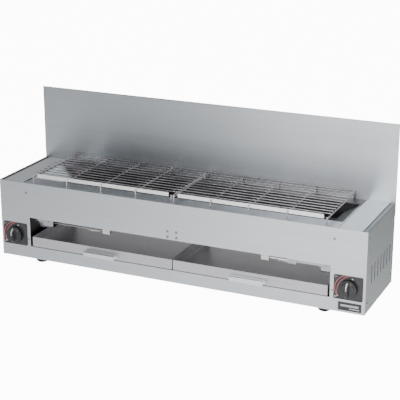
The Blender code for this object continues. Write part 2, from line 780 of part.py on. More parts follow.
def make_riser_pipe(side, sign, tube):
    """The pipe from a tap's outlet up to its injector."""
    x = sign * KNOB_X
    level = 0.135
    points = ((x, OUTLET_Y, OUTLET_Z + GAP), (x, OUTLET_Y, level), (x, FIRE_Y, level),
              (x, FIRE_Y, BURNER_Z - 0.008 - GAP))
    return pipe(f"{side}_riser_pipe", points, 0.004, 0.014, tube)


def make_manifold(steel):
    """The gas pipe that feeds both taps, behind and under the pan shelf."""
    valve_end = VALVE_INLET_Y + GAP
    half_route = [(KNOB_X, valve_end, KNOB_Z), (KNOB_X, MANIFOLD_Y, KNOB_Z),
                  (KNOB_X, MANIFOLD_Y, MANIFOLD_Z)]
    mirrored = [(-x, y, z) for x, y, z in reversed(half_route)]
    return pipe("gas_manifold", half_route + mirrored, MANIFOLD_RADIUS, 0.018, steel)


def make_gas_inlet(brass):
    """The nipple for the supply hose, with a hexagon against the rear panel."""
    start = MANIFOLD_Y + MANIFOLD_RADIUS + GAP

    def nipple(bm):
        add_rod(bm, (KNOB_X, start, INLET_Z), (KNOB_X, INLET_END_Y, INLET_Z), 0.0104)

    def hexagon(bm):
        add_rod(bm, (KNOB_X, PANEL_BACK + GAP, INLET_Z), (KNOB_X, PANEL_BACK + 0.011, INLET_Z),
                0.0155, sides=6)

    def bore(bm):
        add_rod(bm, (KNOB_X, INLET_END_Y - 0.030, INLET_Z), (KNOB_X, INLET_END_Y + 0.01, INLET_Z),
                0.0060, sides=16)

    inlet = solid("gas_inlet", nipple, brass, smooth=True)
    return cut(weld(inlet, hexagon), bore)


def make_pilot_burner(side, sign, steel):
    """The small burner that lights the arm beside it, on a hanger from the front panel."""
    x = sign * PILOT_X[side]
    hanger_half = 0.010
    block_half = 0.007
    hanger_top = WINDOW_HIGH + 0.002
    tip_y = -0.068
    profile = ((INSIDE_FRONT, 0.185), (INSIDE_FRONT, hanger_top), (-0.104, hanger_top))
    hanger = bent_sheet(f"{side}_pilot_burner", profile, "X", x - hanger_half,
                        x + hanger_half, steel)

    def block(bm):
        add_box(bm, (x - PILOT_HALF, PILOT_Y - block_half, PILOT_Z - block_half),
                (x + PILOT_HALF, PILOT_Y + block_half, hanger_top + 0.0005))

    def arm(bm):
        add_box(bm, (x - 0.005, PILOT_Y, PILOT_Z - 0.003), (x + 0.005, tip_y, PILOT_Z + 0.003))

    def tip(bm):
        add_rod(bm, (x, tip_y, PILOT_Z - 0.005), (x, tip_y, PILOT_Z + 0.018), 0.0055, sides=12)

    return weld(weld(weld(hanger, block), arm), tip)


def make_pilot_pipe(side, sign, tube):
    """The thin pipe from a tap to its pilot burner."""
    x = sign * (KNOB_X - PILOT_OUTLET_X)
    end = sign * (PILOT_X[side] + PILOT_HALF + GAP)
    points = ((x, PILOT_Y, PILOT_OUTLET_Z + GAP), (x, PILOT_Y, PILOT_Z), (end, PILOT_Y, PILOT_Z))
    return pipe(f"{side}_pilot_pipe", points, PILOT_PIPE_RADIUS, 0.010, tube)


def make_electrode(side, sign, ceramic):
    """The spark electrode: a ceramic sleeve with its wire bent up beside the pilot."""
    y = PILOT_Y + 0.015
    z = PILOT_Z - 0.008
    near = PILOT_X[side] + 0.018
    start = PILOT_X[side] + 0.034
    end = start + 0.038
    collar = start + 0.022

    def sleeve(bm):
        add_rod(bm, (sign * start, y, z), (sign * end, y, z), 0.0042, sides=16)

    def fittings(bm):
        add_rod(bm, (sign * collar, y, z), (sign * (collar + 0.006), y, z), 0.0060, sides=16)
        add_rod(bm, (sign * near, y, z), (sign * (start + 0.004), y, z), 0.0011, sides=8)
        add_rod(bm, (sign * (end - 0.004), y, z), (sign * (end + 0.014), y, z), 0.0030,
                sides=8, end_radius=0.0008)

    return weld(solid(f"{side}_electrode", sleeve, ceramic, smooth=True), fittings)


# ---- drip pans ------------------------------------------------------------------------
def make_drip_pan(side, sign, parent, steel):
    """An open tray whose front wall closes the lower part of the window."""
    middle = sign * (PAN_INNER_X + PAN_OUTER_X) / 2
    half = (PAN_OUTER_X - PAN_INNER_X) / 2
    bm = bmesh.new()
    add_box(bm, (-half, 0.0, 0.0), (half, PAN_REAR - PAN_FRONT, PAN_HIGH - PAN_LOW))
    lid = [face for face in bm.faces if face.normal.z > 0.5]
    bmesh.ops.delete(bm, geom=lid, context="FACES")
    mesh = bpy.data.meshes.new(f"{side}_drip_pan")
    bm.to_mesh(mesh)
    bm.free()
    pan = add_object(f"{side}_drip_pan", mesh, steel, parent,
                     (middle - parent.location.x, 0.0, 0.0))
    thicken(pan)
    return pan


def make_pan_handle(side, parent, steel):
    """A folded pull: a tab on the pan's front, a shelf, and a lip for the fingers."""
    tab_face = -GAP
    top = HANDLE_TOP - PAN_LOW
    lip = -HANDLE_DEPTH
    low = top - HANDLE_LIP
    profile = ((lip, low), (lip, top), (tab_face, top), (tab_face, low))
    x = HANDLE_X[side] - parent.location.x
    return bent_sheet(f"{side}_pan_handle", profile[::-1], "X", x - HANDLE_LENGTH / 2,
                      x + HANDLE_LENGTH / 2, steel, parent, fold=0.003)


def make_label_plate(plastic):
    """A blank dark plate on the front panel's lower right corner."""
    low_x, high_x = 0.521, 0.590
    low_z, high_z = BASE + 0.007, BASE + 0.032
    thick = 0.0008

    def plate(bm):
        add_box(bm, (low_x, FRONT - GAP - thick, low_z), (high_x, FRONT - GAP, high_z))

    return solid("label_plate", plate, plastic)


# ---- the whole grill ------------------------------------------------------------------
def clear_scene():
    for obj in list(bpy.data.objects):
        bpy.data.objects.remove(obj, do_unlink=True)


def main():
    clear_scene()
    steel = finish("brushed_steel", (0.62, 0.64, 0.65), 0.34, 1.0)
    liner = finish("heat_stained_steel", (0.40, 0.39, 0.38), 0.45, 1.0)
    wire = finish("bright_steel_wire", (0.72, 0.72, 0.73), 0.22, 1.0)
    cast_iron = finish("burner_iron", (0.10, 0.10, 0.11), 0.65, 0.6)
    brass = finish("brass", (0.72, 0.53, 0.25), 0.35, 1.0)
    tube = finish("gas_pipe", (0.70, 0.71, 0.72), 0.35, 1.0)
    ceramic = finish("white_ceramic", (0.80, 0.78, 0.72), 0.40, 0.0)
    plastic = finish("black_plastic", (0.03, 0.03, 0.03), 0.42, 0.0)
    rubber = finish("black_rubber", (0.02, 0.02, 0.02), 0.80, 0.0)

    make_front_panel(steel)
    make_rear_panel(steel)
    make_bottom_panel(steel)
    make_pan_shelf(liner)
    make_back_guard(steel)
    make_baffles(liner)
    make_centre_beam(liner)
    make_manifold(steel)
    make_gas_inlet(brass)
    make_label_plate(plastic)

    foot_x, foot_y = 0.472, 0.105
    for end, y in (("front", -foot_y), ("rear", foot_y)):
        for side, sign in SIDES.items():
            make_foot(f"{end}_{side}_foot", sign * foot_x, y, rubber)

    for side, sign in SIDES.items():
        make_side_panel(side, sign, steel)
        make_deck(side, sign, steel)
        make_partition(side, sign, liner)
        make_grate(side, sign, wire)
        make_radiant(side, sign, liner)
        make_burner(side, sign, cast_iron)
        make_burner_bracket(side, sign, steel)
        make_mixing_tube(side, sign, cast_iron)
        make_air_shutter(side, sign, steel)
        make_injector(side, sign, brass)
        make_valve_body(side, sign, brass)
        make_controls(side, sign, brass, steel, plastic)
        make_dial_plate(side, sign, plastic)
        make_riser_pipe(side, sign, tube)
        make_pilot_burner(side, sign, steel)
        make_pilot_pipe(side, sign, tube)
        make_electrode(side, sign, ceramic)
        slide = joint_axis(f"{side}_pan_slide", (sign * PAN_OUTER_X / 2, PAN_FRONT, PAN_LOW))
        make_drip_pan(side, sign, slide, steel)
        make_pan_handle(side, slide, steel)


main()
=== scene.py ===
# %% [markdown]
# # A countertop gas charbroiler
#
# This lesson dresses a restaurant grill: a long stainless casing on rubber feet, two wire
# grates over the burners, a tall back guard, two drip pans behind one wide window, and a
# push-and-turn gas knob at each end. The engineering model is already packed. It fixes
# every place, size and joint, and we build the visible surfaces around it.

# %% Load the fixed frame
import json
import math

import bmesh
import bpy
from mathutils import Matrix, Vector


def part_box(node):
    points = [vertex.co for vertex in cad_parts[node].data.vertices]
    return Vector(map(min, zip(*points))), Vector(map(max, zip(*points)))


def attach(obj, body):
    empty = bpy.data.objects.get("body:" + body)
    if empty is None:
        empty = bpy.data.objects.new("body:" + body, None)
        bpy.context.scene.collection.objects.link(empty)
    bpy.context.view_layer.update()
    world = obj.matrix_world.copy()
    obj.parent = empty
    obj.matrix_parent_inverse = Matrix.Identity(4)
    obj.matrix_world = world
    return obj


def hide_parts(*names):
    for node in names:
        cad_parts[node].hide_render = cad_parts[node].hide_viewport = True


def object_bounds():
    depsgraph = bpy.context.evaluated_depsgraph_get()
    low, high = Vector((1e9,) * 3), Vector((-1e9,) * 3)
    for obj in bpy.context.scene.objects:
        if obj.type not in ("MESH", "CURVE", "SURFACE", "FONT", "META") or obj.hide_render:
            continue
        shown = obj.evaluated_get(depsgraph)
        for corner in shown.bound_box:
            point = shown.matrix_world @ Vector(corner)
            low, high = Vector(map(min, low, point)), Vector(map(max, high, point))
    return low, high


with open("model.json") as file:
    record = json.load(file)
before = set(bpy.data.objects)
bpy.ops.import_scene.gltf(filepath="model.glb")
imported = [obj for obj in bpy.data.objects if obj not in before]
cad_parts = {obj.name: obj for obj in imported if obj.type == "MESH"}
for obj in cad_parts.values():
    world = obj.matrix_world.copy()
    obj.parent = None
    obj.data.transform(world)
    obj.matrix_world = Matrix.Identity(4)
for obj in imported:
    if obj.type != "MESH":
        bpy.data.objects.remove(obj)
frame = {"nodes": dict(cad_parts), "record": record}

CAD_LOW, CAD_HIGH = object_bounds()
SIDES = {"left": -1.0, "right": 1.0}
MM = 0.001


def span(node):
    """Lowest and highest corner of an engineering node, as vectors."""
    low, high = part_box(node)
    return Vector(low), Vector(high)


# %% [markdown]
# ## The camera
#
# The grill is seen by someone who stands a few steps off, to the right of the middle, and
# looks a little down. A long lens keeps the casing's edges nearly parallel. The aim is
# given as a heading and a pitch, because those are what one sets on a real tripod.

# %% Camera
CAMERA_PLACE = (1.4484, -3.1332, 1.3797)
CAMERA_HEADING = math.radians(24.379)    # turned to the left of straight ahead
CAMERA_PITCH = math.radians(18.350)      # tipped down
CAMERA_LENS = 107.13
SENSOR_WIDTH = 36.0
data = bpy.data.cameras.new("camera")
data.lens = CAMERA_LENS
data.sensor_width = SENSOR_WIDTH
data.clip_start = 0.1
data.clip_end = 50.0
camera = bpy.data.objects.new("camera", data)
bpy.context.collection.objects.link(camera)
camera.location = CAMERA_PLACE
camera.rotation_euler = (math.radians(90) - CAMERA_PITCH, 0.0, CAMERA_HEADING)
bpy.context.scene.camera = camera
print("camera at", CAMERA_PLACE, "lens", CAMERA_LENS)

# %% [markdown]
# ## Shader arithmetic
#
# A finish is a small tree of nodes, which is slow to read when wired by name. So one class
# stands for a socket and lets us write sums and products, and another holds the material
# and makes any node from its type, its settings and what its sockets hold.


# %% The socket class and the finish class
class Signal:
    """One output socket. Arithmetic on it adds Math nodes."""

    def __init__(self, finish, socket):
        self.finish = finish
        self.socket = socket

    def maths(self, operation, first, second=0.0):
        return self.finish.node("ShaderNodeMath", {"operation": operation},
                                {0: first, 1: second})

    def __add__(self, other):
        return self.maths("ADD", self, other)

    def __sub__(self, other):
        return self.maths("SUBTRACT", self, other)

    def __rsub__(self, other):
        return self.maths("SUBTRACT", other, self)

    def __mul__(self, other):
        return self.maths("MULTIPLY", self, other)

    __radd__ = __add__
    __rmul__ = __mul__


class Finish:
    """A material with one Principled shader. Uniform values are set on its sockets."""

    def __init__(self, name, **uniform):
        self.material = bpy.data.materials.new(name)
        self.material.use_nodes = True
        self.tree = self.material.node_tree
        self.shader = self.tree.nodes["Principled BSDF"]
        self.paint(**uniform)

    def paint(self, **values):
        """Set or link the shader's sockets, such as base_color=... for Base Color."""
        for name, value in values.items():
            self.feed(self.shader.inputs[name.replace("_", " ").title()], value)
        return self

    def feed(self, socket, value):
        if isinstance(value, Signal):
            self.tree.links.new(value.socket, socket)
        elif hasattr(value, "__len__") and len(value) == 3 and socket.type == "RGBA":
            socket.default_value = (*value, 1.0)
        else:
            socket.default_value = value

    def node(self, kind, settings=None, sockets=None, output=0):
        """Make any node: its settings first, then what its sockets hold."""
        made = self.tree.nodes.new(kind)
        for name, value in (settings or {}).items():
            if name == "stops":
                set_stops(made.color_ramp, value)
            else:
                setattr(made, name, value)
        for key, value in (sockets or {}).items():
            self.feed(made.inputs[key], value)
        return Signal(self, made.outputs[output])

    def place(self, stretch=(1.0, 1.0, 1.0)):
        """Object coordinates in metres, stretched along each axis."""
        point = self.node("ShaderNodeTexCoord", output="Object")
        return self.node("ShaderNodeMapping", sockets={"Vector": point, "Scale": stretch})

    def colour(self):
        """What feeds the base colour so far."""
        return Signal(self, self.shader.inputs["Base Color"].links[0].from_socket)

    def noise(self, stretch, detail=3.0, roughness=0.55):
        """Noise with so many spots per metre: one number, or one each for X, Y and Z."""
        if isinstance(stretch, float):
            stretch = (stretch,) * 3
        return self.node("ShaderNodeTexNoise", None,
                         {"Vector": self.place(stretch), "Scale": 1.0, "Detail": detail,
                          "Roughness": roughness})

    def ramp(self, value, *stops):
        return self.node("ShaderNodeValToRGB", {"stops": stops}, {0: value})

    def mix(self, first, second, factor):
        """Blend two colours."""
        return self.node("ShaderNodeMix", {"data_type": "RGBA"},
                         {0: factor, 6: first, 7: second}, output=2)

    def between(self, value, low, high):
        """Turn a signal of 0 to 1 into one of low to high."""
        return value * (high - low) + low

    def bump(self, height, distance, strength=1.0, below=None):
        sockets = {"Height": height, "Distance": distance, "Strength": strength}
        if below is not None:
            sockets["Normal"] = below
        return self.node("ShaderNodeBump", None, sockets)


def set_stops(ramp, stops):
    """Give a colour ramp its stops, each a position and a grey or a colour."""
    while len(ramp.elements) < len(stops):
        ramp.elements.new(1.0)
    for element, (position, colour) in zip(ramp.elements, stops):
        element.position = position
        element.color = (colour,) * 3 + (1.0,) if isinstance(colour, float) else (*colour, 1.0)


def across(finish, axis):
    """One Object coordinate, in metres."""
    point = finish.node("ShaderNodeTexCoord", output="Object")
    return finish.node("ShaderNodeSeparateXYZ", sockets={0: point}, output="XYZ".index(axis))


def fade(signal, start, end, first, last):
    """Pass smoothly from first to last while a signal passes from start to end."""
    return signal.finish.node("ShaderNodeMapRange", {"interpolation_type": "SMOOTHSTEP"},
                              {0: signal, 1: start, 2: end, 3: first, 4: last})


def within(signal, limit, blur=0.15 * MM):
    """1 where a signal is below a limit and 0 where it is above, with a soft edge."""
    return fade(signal, limit - blur, limit + blur, 1.0, 0.0)


print("shader tools ready")

# %% [markdown]
# ## Brushed stainless steel
#
# The casing is sheet that was brushed with a belt along its length. Brushing leaves lines a
# fraction of a millimetre wide, so noise is stretched a hundred times longer along the
# grain than across it. The same lines move the roughness and a shallow bump. Slow, soft
# clouds stand for the handling that every kitchen sheet shows.

# %% Brushed steel
GRAINS = {"X": (3.0, 700.0, 700.0), "Y": (700.0, 3.0, 700.0), "Z": (700.0, 700.0, 3.0)}
BANDS = {"X": (0.8, 55.0, 55.0), "Y": (55.0, 0.8, 55.0), "Z": (55.0, 55.0, 0.8)}


def brushed(name, colour, grain="X", roughness=0.30, spread=0.10, depth=0.00002,
            metallic=1.0, streak=0.0):
    """streak stretches reflections across the grain, as brushing does."""
    finish = Finish(name, metallic=metallic, anisotropic=streak, anisotropic_rotation=0.25)
    lines = finish.noise(GRAINS[grain], detail=2.0)
    bands = finish.noise(BANDS[grain], detail=3.0)
    clouds = finish.noise(3.0, detail=4.0)
    tone = lines * 0.40 + bands * 0.25 + clouds * 0.35
    dark = [c * 0.90 for c in colour]
    light = [min(1.0, c * 1.07) for c in colour]
    return finish.paint(
        base_color=finish.ramp(tone, (0.30, dark), (0.70, light)),
        roughness=finish.between(lines * 0.6 + clouds * 0.4,
                                 roughness - spread, roughness + spread),
        normal=finish.bump(lines, depth))


# The colour of the painted shade in the seams beside the decks.
SEAM_SHADE = (0.05, 0.05, 0.055)


def shade_seams(finish, node, width=1.3 * MM):
    """Painted shade: darkens a sheet along the two seams at its ends in X, on both sides, where
    the crevices beside it lie in shadow.
    """
    low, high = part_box(node)
    nearest, farthest = sorted((abs(low[0]), abs(high[0])))
    x = across(finish, "X")
    x = x.maths("ABSOLUTE", x)
    seams = within(x, nearest + width) + (1 - within(x, farthest - width))
    return finish.paint(base_color=finish.mix(finish.colour(), SEAM_SHADE, seams))


STEEL = (0.635, 0.67, 0.705)
FINISHES = {
    "brushed_steel": brushed("brushed_steel_along_x", STEEL, streak=0.75),
    # Painted shade: the side sheets are the same steel as the front, but given a far darker
    # colour so that they look shaded.
    "shaded_side_steel": brushed("shaded_steel_along_y", (0.235, 0.257, 0.27), grain="Y",
                          roughness=0.34, streak=0.6),
    # Painted light: the decks are the same steel, made lighter and part non-metal so that they
    # look more brightly lit, and shade_seams paints shade along their seams.
    "lit_deck_steel": shade_seams(brushed("lit_deck_steel", (0.72, 0.75, 0.78), grain="Y",
                                      roughness=0.32, metallic=0.6), "left_deck"),
    "guard_steel": brushed("guard_steel", (0.65, 0.685, 0.72), roughness=0.34, spread=0.06,
                           streak=0.85),
    "pan_steel": brushed("pan_steel", (0.58, 0.575, 0.60), roughness=0.40, spread=0.08,
                         metallic=0.8),
    "pull_steel": brushed("pull_steel", (0.78, 0.80, 0.82), roughness=0.18, spread=0.05),
    "zinc_steel": brushed("zinc_steel", (0.70, 0.70, 0.68), grain="Z", roughness=0.36),
    "steel_pipe": brushed("steel_pipe", (0.50, 0.50, 0.50), grain="Z", roughness=0.38),
    "bracket_steel": brushed("bracket_steel", (0.46, 0.46, 0.47), roughness=0.38),
    "screw_steel": brushed("screw_steel", (0.30, 0.30, 0.31), grain="Z", roughness=0.40),
    "aluminium_tube": brushed("aluminium_tube", (0.78, 0.79, 0.80), roughness=0.30),
}
print("brushed finishes:", ", ".join(FINISHES))

# %% [markdown]
# ## The other finishes
#
# Wire is drawn, so its grain is fine and its gloss is high, and the bar along the front of
# each grate is painted bright as a highlight. The hopper and the radiant plates have been
# hot, which leaves straw and violet tints; the hopper is also painted darker down in the
# fire box and towards the rear, as shade. Burners are cast iron with a sandy skin, the taps
# are machined brass, and the knobs are moulded in a fine texture.


# %% Wire, hot sheet, iron, brass, ceramic, plastic and rubber
RIM_Y = -0.116                   # the bar along the front of each grate, painted bright as a highlight
STAIN_AND_SHADE_HEIGHTS = (0.242, 0.216)   # the hopper is clean above the first; below the second it is stained and painted with shade
REAR_SHADE_PLACES = (0.05, 0.09)      # and painted with shade from the first to the second, towards the rear


def skin(finish, drift, stops, fine, gloss, depth):
    """A slow drift of tone, and a fine grain that moves the roughness and a bump."""
    return finish.paint(base_color=finish.ramp(drift, *stops),
                        roughness=finish.between(fine * 0.5 + drift * 0.5, *gloss),
                        normal=finish.bump(fine, depth))


def drawn_wire():
    finish = Finish("drawn_wire", metallic=1.0)
    soot = ((0.32, (0.46, 0.43, 0.445)), (0.62, (0.68, 0.65, 0.66)))
    skin(finish, finish.noise(14.0, detail=4.0), soot,
         finish.noise(260.0, detail=2.0), (0.12, 0.34), 0.00002)
    # Painted highlight: the front bar of each grate, within 2.2 mm of RIM_Y, is painted
    # near-white.
    rim = across(finish, "Y") - RIM_Y
    rim = within(rim.maths("ABSOLUTE", rim), 2.2 * MM)
    return finish.paint(base_color=finish.mix(finish.colour(), (0.93, 0.93, 0.94), rim))


def hot_sheet():
    finish = Finish("hot_sheet", metallic=1.0)
    tints = ((0.30, (0.070, 0.066, 0.076)), (0.46, (0.10, 0.092, 0.10)),
             (0.58, (0.125, 0.115, 0.115)), (0.75, (0.17, 0.165, 0.17)))
    return skin(finish, finish.noise((9.0, 16.0, 16.0), detail=4.0), tints,
                finish.noise((500.0, 90.0, 500.0), detail=2.0), (0.24, 0.50), 0.00004)


def hopper_sheet():
    """Brushed sheet that grows darker and browner down towards the fire, with heat stain and
    painted shade, and darker towards the rear with painted shade.
    """
    finish = brushed("hopper_steel", STEEL, roughness=0.32)
    clean = finish.colour()
    tint = finish.noise((12.0, 20.0, 12.0), detail=4.0)
    stain_and_shade = finish.ramp(tint, (0.35, (0.085, 0.078, 0.088)), (0.65, (0.16, 0.15, 0.155)))
    # Darker lower down: heat stain, and painted shade of the deep fire box.
    depth = fade(across(finish, "Z"), *STAIN_AND_SHADE_HEIGHTS, 0.0, 1.0)
    # Darker towards the rear: painted shade.
    rear_shade = fade(across(finish, "Y"), *REAR_SHADE_PLACES, 0.0, 0.95)
    return finish.paint(base_color=finish.mix(finish.mix(clean, stain_and_shade, depth), stain_and_shade, rear_shade))


def cast_iron():
    finish = Finish("cast_iron", metallic=0.55)
    sand = finish.noise(900.0, detail=5.0, roughness=0.7)
    rust = finish.noise(35.0, detail=4.0)
    return finish.paint(
        base_color=finish.ramp(rust, (0.40, (0.075, 0.074, 0.078)), (0.72, (0.16, 0.12, 0.10))),
        roughness=finish.between(sand, 0.50, 0.85),
        normal=finish.bump(sand, 0.0003))


def machined_brass():
    finish = Finish("machined_brass", metallic=1.0)
    tarnish = ((0.34, (0.50, 0.34, 0.15)), (0.62, (0.78, 0.59, 0.29)))
    return skin(finish, finish.noise(45.0, detail=4.0), tarnish,
                finish.noise((60.0, 900.0, 60.0), detail=2.0), (0.18, 0.42), 0.00004)


def glazed_ceramic():
    finish = Finish("glazed_ceramic", coat_weight=0.5, coat_roughness=0.08)
    clouds = finish.noise(120.0, detail=3.0)
    return finish.paint(
        base_color=finish.ramp(clouds, (0.35, (0.66, 0.63, 0.56)), (0.65, (0.84, 0.82, 0.77))),
        roughness=finish.between(clouds, 0.18, 0.34),
        normal=finish.bump(clouds, 0.00005))


def moulded(name, dark, light, low, high, spots=1400.0, depth=0.00006):
    """A moulded plastic or rubber skin with fine pits."""
    finish = Finish(name)
    return skin(finish, finish.noise(30.0), ((0.35, dark), (0.65, light)),
                finish.noise(spots, detail=2.0), (low, high), depth)


FINISHES.update({
    "steel_wire": drawn_wire(),
    "heat_stained_steel": hot_sheet(),
    "hopper_steel": hopper_sheet(),
    "burner_iron": cast_iron(),
    "brass": machined_brass(),
    "ceramic": glazed_ceramic(),
    "black_plastic": moulded("black_plastic", (0.022, 0.022, 0.024), (0.034, 0.034, 0.037),
                             0.22, 0.42),
    "black_rubber": moulded("black_rubber", (0.012, 0.012, 0.012), (0.024, 0.024, 0.024),
                            0.62, 0.88, spots=500.0, depth=0.0002),
})
print(len(FINISHES), "finishes")

# %% [markdown]
# ## Working by hand, in code
#
# Every new piece starts as a primitive and is shaped in edit mode, as it would be with the
# mouse. An operator acts on whatever is selected, so each helper first clears the
# selection, then picks faces or edges by their place. When a piece is done its place is
# applied to its mesh, so that the object itself sits at the origin.


# %% Selecting, editing and applying
def clear():
    bpy.ops.object.select_all(action="DESELECT")


def activate(piece):
    clear()
    piece.select_set(True)
    bpy.context.view_layer.objects.active = piece


def named(name):
    """Name the newest object and bring its place into its mesh."""
    piece = bpy.context.object
    piece.name = name
    piece.data.name = name
    activate(piece)
    bpy.ops.object.transform_apply(location=True, rotation=True, scale=True)
    return piece


def choose(piece, kind, test):
    """Enter edit mode with only those corners, edges or faces selected that pass a test."""
    activate(piece)
    bpy.ops.object.mode_set(mode="EDIT")
    bpy.ops.mesh.select_mode(type=kind)
    bpy.ops.mesh.select_all(action="DESELECT")
    shape = bmesh.from_edit_mesh(piece.data)
    for part in {"VERT": shape.verts, "EDGE": shape.edges, "FACE": shape.faces}[kind]:
        part.select_set(bool(test(part)))
    shape.select_flush_mode()
    bmesh.update_edit_mesh(piece.data)


def leave():
    bpy.ops.object.mode_set(mode="OBJECT")


def pull_out(x, y, z):
    """Extrude what is selected and move it."""
    bpy.ops.mesh.extrude_region_move(TRANSFORM_OT_translate={"value": (x, y, z)})


def round_off(piece, test, width, segments):
    """Bevel only the edges that pass a test."""
    choose(piece, "EDGE", test)
    bpy.ops.mesh.bevel(offset=width, segments=segments, affect="EDGES")
    leave()


def face_outwards():
    """Turn all faces of the piece in edit mode the same way, and leave edit mode."""
    bpy.ops.mesh.select_all(action="SELECT")
    bpy.ops.mesh.normals_make_consistent(inside=False)
    leave()


def face_towards(piece, out):
    """Turn a sheet over if its largest face looks away from out."""
    if max(piece.data.polygons, key=lambda face: face.area).normal.dot(Vector(out)) < 0:
        choose(piece, "FACE", lambda face: True)
        bpy.ops.mesh.flip_normals()
        leave()


def run(edge, axis):
    """How far an edge runs along one axis."""
    first, second = (vert.co["XYZ".index(axis)] for vert in edge.verts)
    return abs(first - second)


def modify(piece, kind, **settings):
    """Add a modifier, set it and apply it."""
    activate(piece)
    bpy.ops.object.modifier_add(type=kind)
    modifier = piece.modifiers[-1]
    for name, value in settings.items():
        setattr(modifier, name, value)
    bpy.ops.object.modifier_apply(modifier=modifier.name)
    return piece


def repeat(piece, count, step):
    """Copy a shape along a line."""
    return modify(piece, "ARRAY", count=count, use_relative_offset=False,
                  use_constant_offset=True, constant_offset_displace=step)


def middle_of(edge):
    return (edge.verts[0].co + edge.verts[1].co) / 2


def block(name, low, high):
    """A box between two corners."""
    low, high = Vector(map(min, low, high)), Vector(map(max, low, high))
    clear()
    bpy.ops.mesh.primitive_cube_add(size=1.0, location=(low + high) / 2, scale=high - low)
    return named(name)


def turn_to(direction):
    return Vector(direction).to_track_quat("Z", "Y").to_euler()


def bar(name, start, end, radius, sides=24):
    """A round bar between two points."""
    start, end = Vector(start), Vector(end)
    clear()
    bpy.ops.mesh.primitive_cylinder_add(vertices=sides, radius=radius, depth=(end - start).length,
                                        location=(start + end) / 2, rotation=turn_to(end - start))
    return named(name)


def join(name, parts):
    """Make several shapes one object."""
    activate(parts[0])
    for part in parts[1:]:
        part.select_set(True)
    bpy.ops.object.join()
    return named(name)


def cut(piece, cutter):
    """Take the cutter's shape out of a piece."""
    modify(piece, "BOOLEAN", operation="DIFFERENCE", object=cutter, solver="EXACT")
    bpy.data.objects.remove(cutter)
    return piece


def soften(piece, width, segments=2, angle=35.0):
    return modify(piece, "BEVEL", width=width, segments=segments, limit_method="ANGLE",
                  angle_limit=math.radians(angle))


def smooth(piece, angle=40.0):
    activate(piece)
    bpy.ops.object.shade_smooth_by_angle(angle=math.radians(angle))
    return piece


PIECES = []


def fit(piece, body, finish, replaces=(), angle=40.0):
    """Give a finished piece its surface and its body, and hide the nodes it stands for.
    Weighted normals keep a wide flat sheet looking flat beside its small bevels."""
    smooth(piece, angle)
    modify(piece, "WEIGHTED_NORMAL", weight=100, keep_sharp=True)
    piece.data.materials.clear()
    piece.data.materials.append(FINISHES[finish].material)
    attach(piece, body)
    if replaces:
        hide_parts(*replaces)
    PIECES.append(piece)
    return piece


print("modelling tools ready")

# %% [markdown]
# ## Folding sheet metal
#
# A press brake folds flat sheet one straight line at a time. We copy that: a plane is the
# first strip, and its far edge is extruded once for each further fold. Then the fold lines
# are bevelled into small radii, Solidify gives the sheet its 1.2 mm, and a fine bevel
# breaks the cut edges so that they catch the light as real ones do.

# %% The press brake
SHEET = 1.2 * MM
EDGE_BREAK = 0.25 * MM


def taper(edge_middle, along, length):
    """Shorten the selected edge about its middle to a new length."""
    ratio = length / along.length
    stretch = [ratio if abs(part) > 0.5 * along.length else 1.0 for part in along]
    bpy.ops.transform.resize(value=stretch, center_override=edge_middle)


def folded(name, corner, along, moves, out, lengths=None, bend=1.5 * MM, segments=3):
    """Fold a sheet. corner and along give its first edge, and each move carries the edge on
    to the next fold. The profile is the outer face, and out is the way its largest strip
    looks. lengths, if given, are the edge's lengths at each fold, for mitred sheets."""
    corner, along = Vector(corner), Vector(along)
    moves = [Vector(move) for move in moves]
    first = moves[0]
    turn = Matrix((along.normalized(), first.normalized(), along.cross(first).normalized()))
    clear()
    bpy.ops.mesh.primitive_plane_add(size=1.0, location=corner + (along + first) / 2,
                                     rotation=turn.transposed().to_euler())
    bpy.context.object.scale = (along.length, first.length, 1.0)
    sheet = named(name)
    middle = corner + along / 2 + first
    choose(sheet, "EDGE", lambda edge: (middle_of(edge) - middle).length < 0.01 * MM)
    reach = along.copy()
    for index, move in enumerate(moves):
        if index:
            pull_out(*move)
            middle += move
        if lengths:
            taper(middle, reach, lengths[index])
            reach = reach.normalized() * lengths[index]
    face_outwards()
    face_towards(sheet, out)
    round_off(sheet, lambda edge: len(edge.link_faces) == 2, bend, segments)
    return modify(sheet, "SOLIDIFY", thickness=SHEET, offset=-1.0, use_even_offset=True)


print("press brake ready")

# %% [markdown]
# ## Front panel
#
# One sheet runs the whole length, folded in at the top and the bottom. The wide window is
# cut out of it with a boolean, as a laser would cut it, and so are the two holes for the
# tap spindles and the corners of the flanges, which make room for the decks.

# %% Front panel
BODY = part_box("front_panel")
WINDOW_HALF = 0.495
WINDOW_LOW = BODY[0][2] + 0.040
WINDOW_HIGH = BODY[0][2] + 0.136
RECESS_HALF = 0.511
KNOB_Z = BODY[0][2] + 0.074
KNOB_X = 0.550
SPINDLE_HOLE = 8 * MM


def spindle_hole(sheet, side, front, back):
    cut(sheet, bar("hole", (side * KNOB_X, front - 0.01, KNOB_Z),
                   (side * KNOB_X, back + 0.01, KNOB_Z), SPINDLE_HOLE, sides=32))


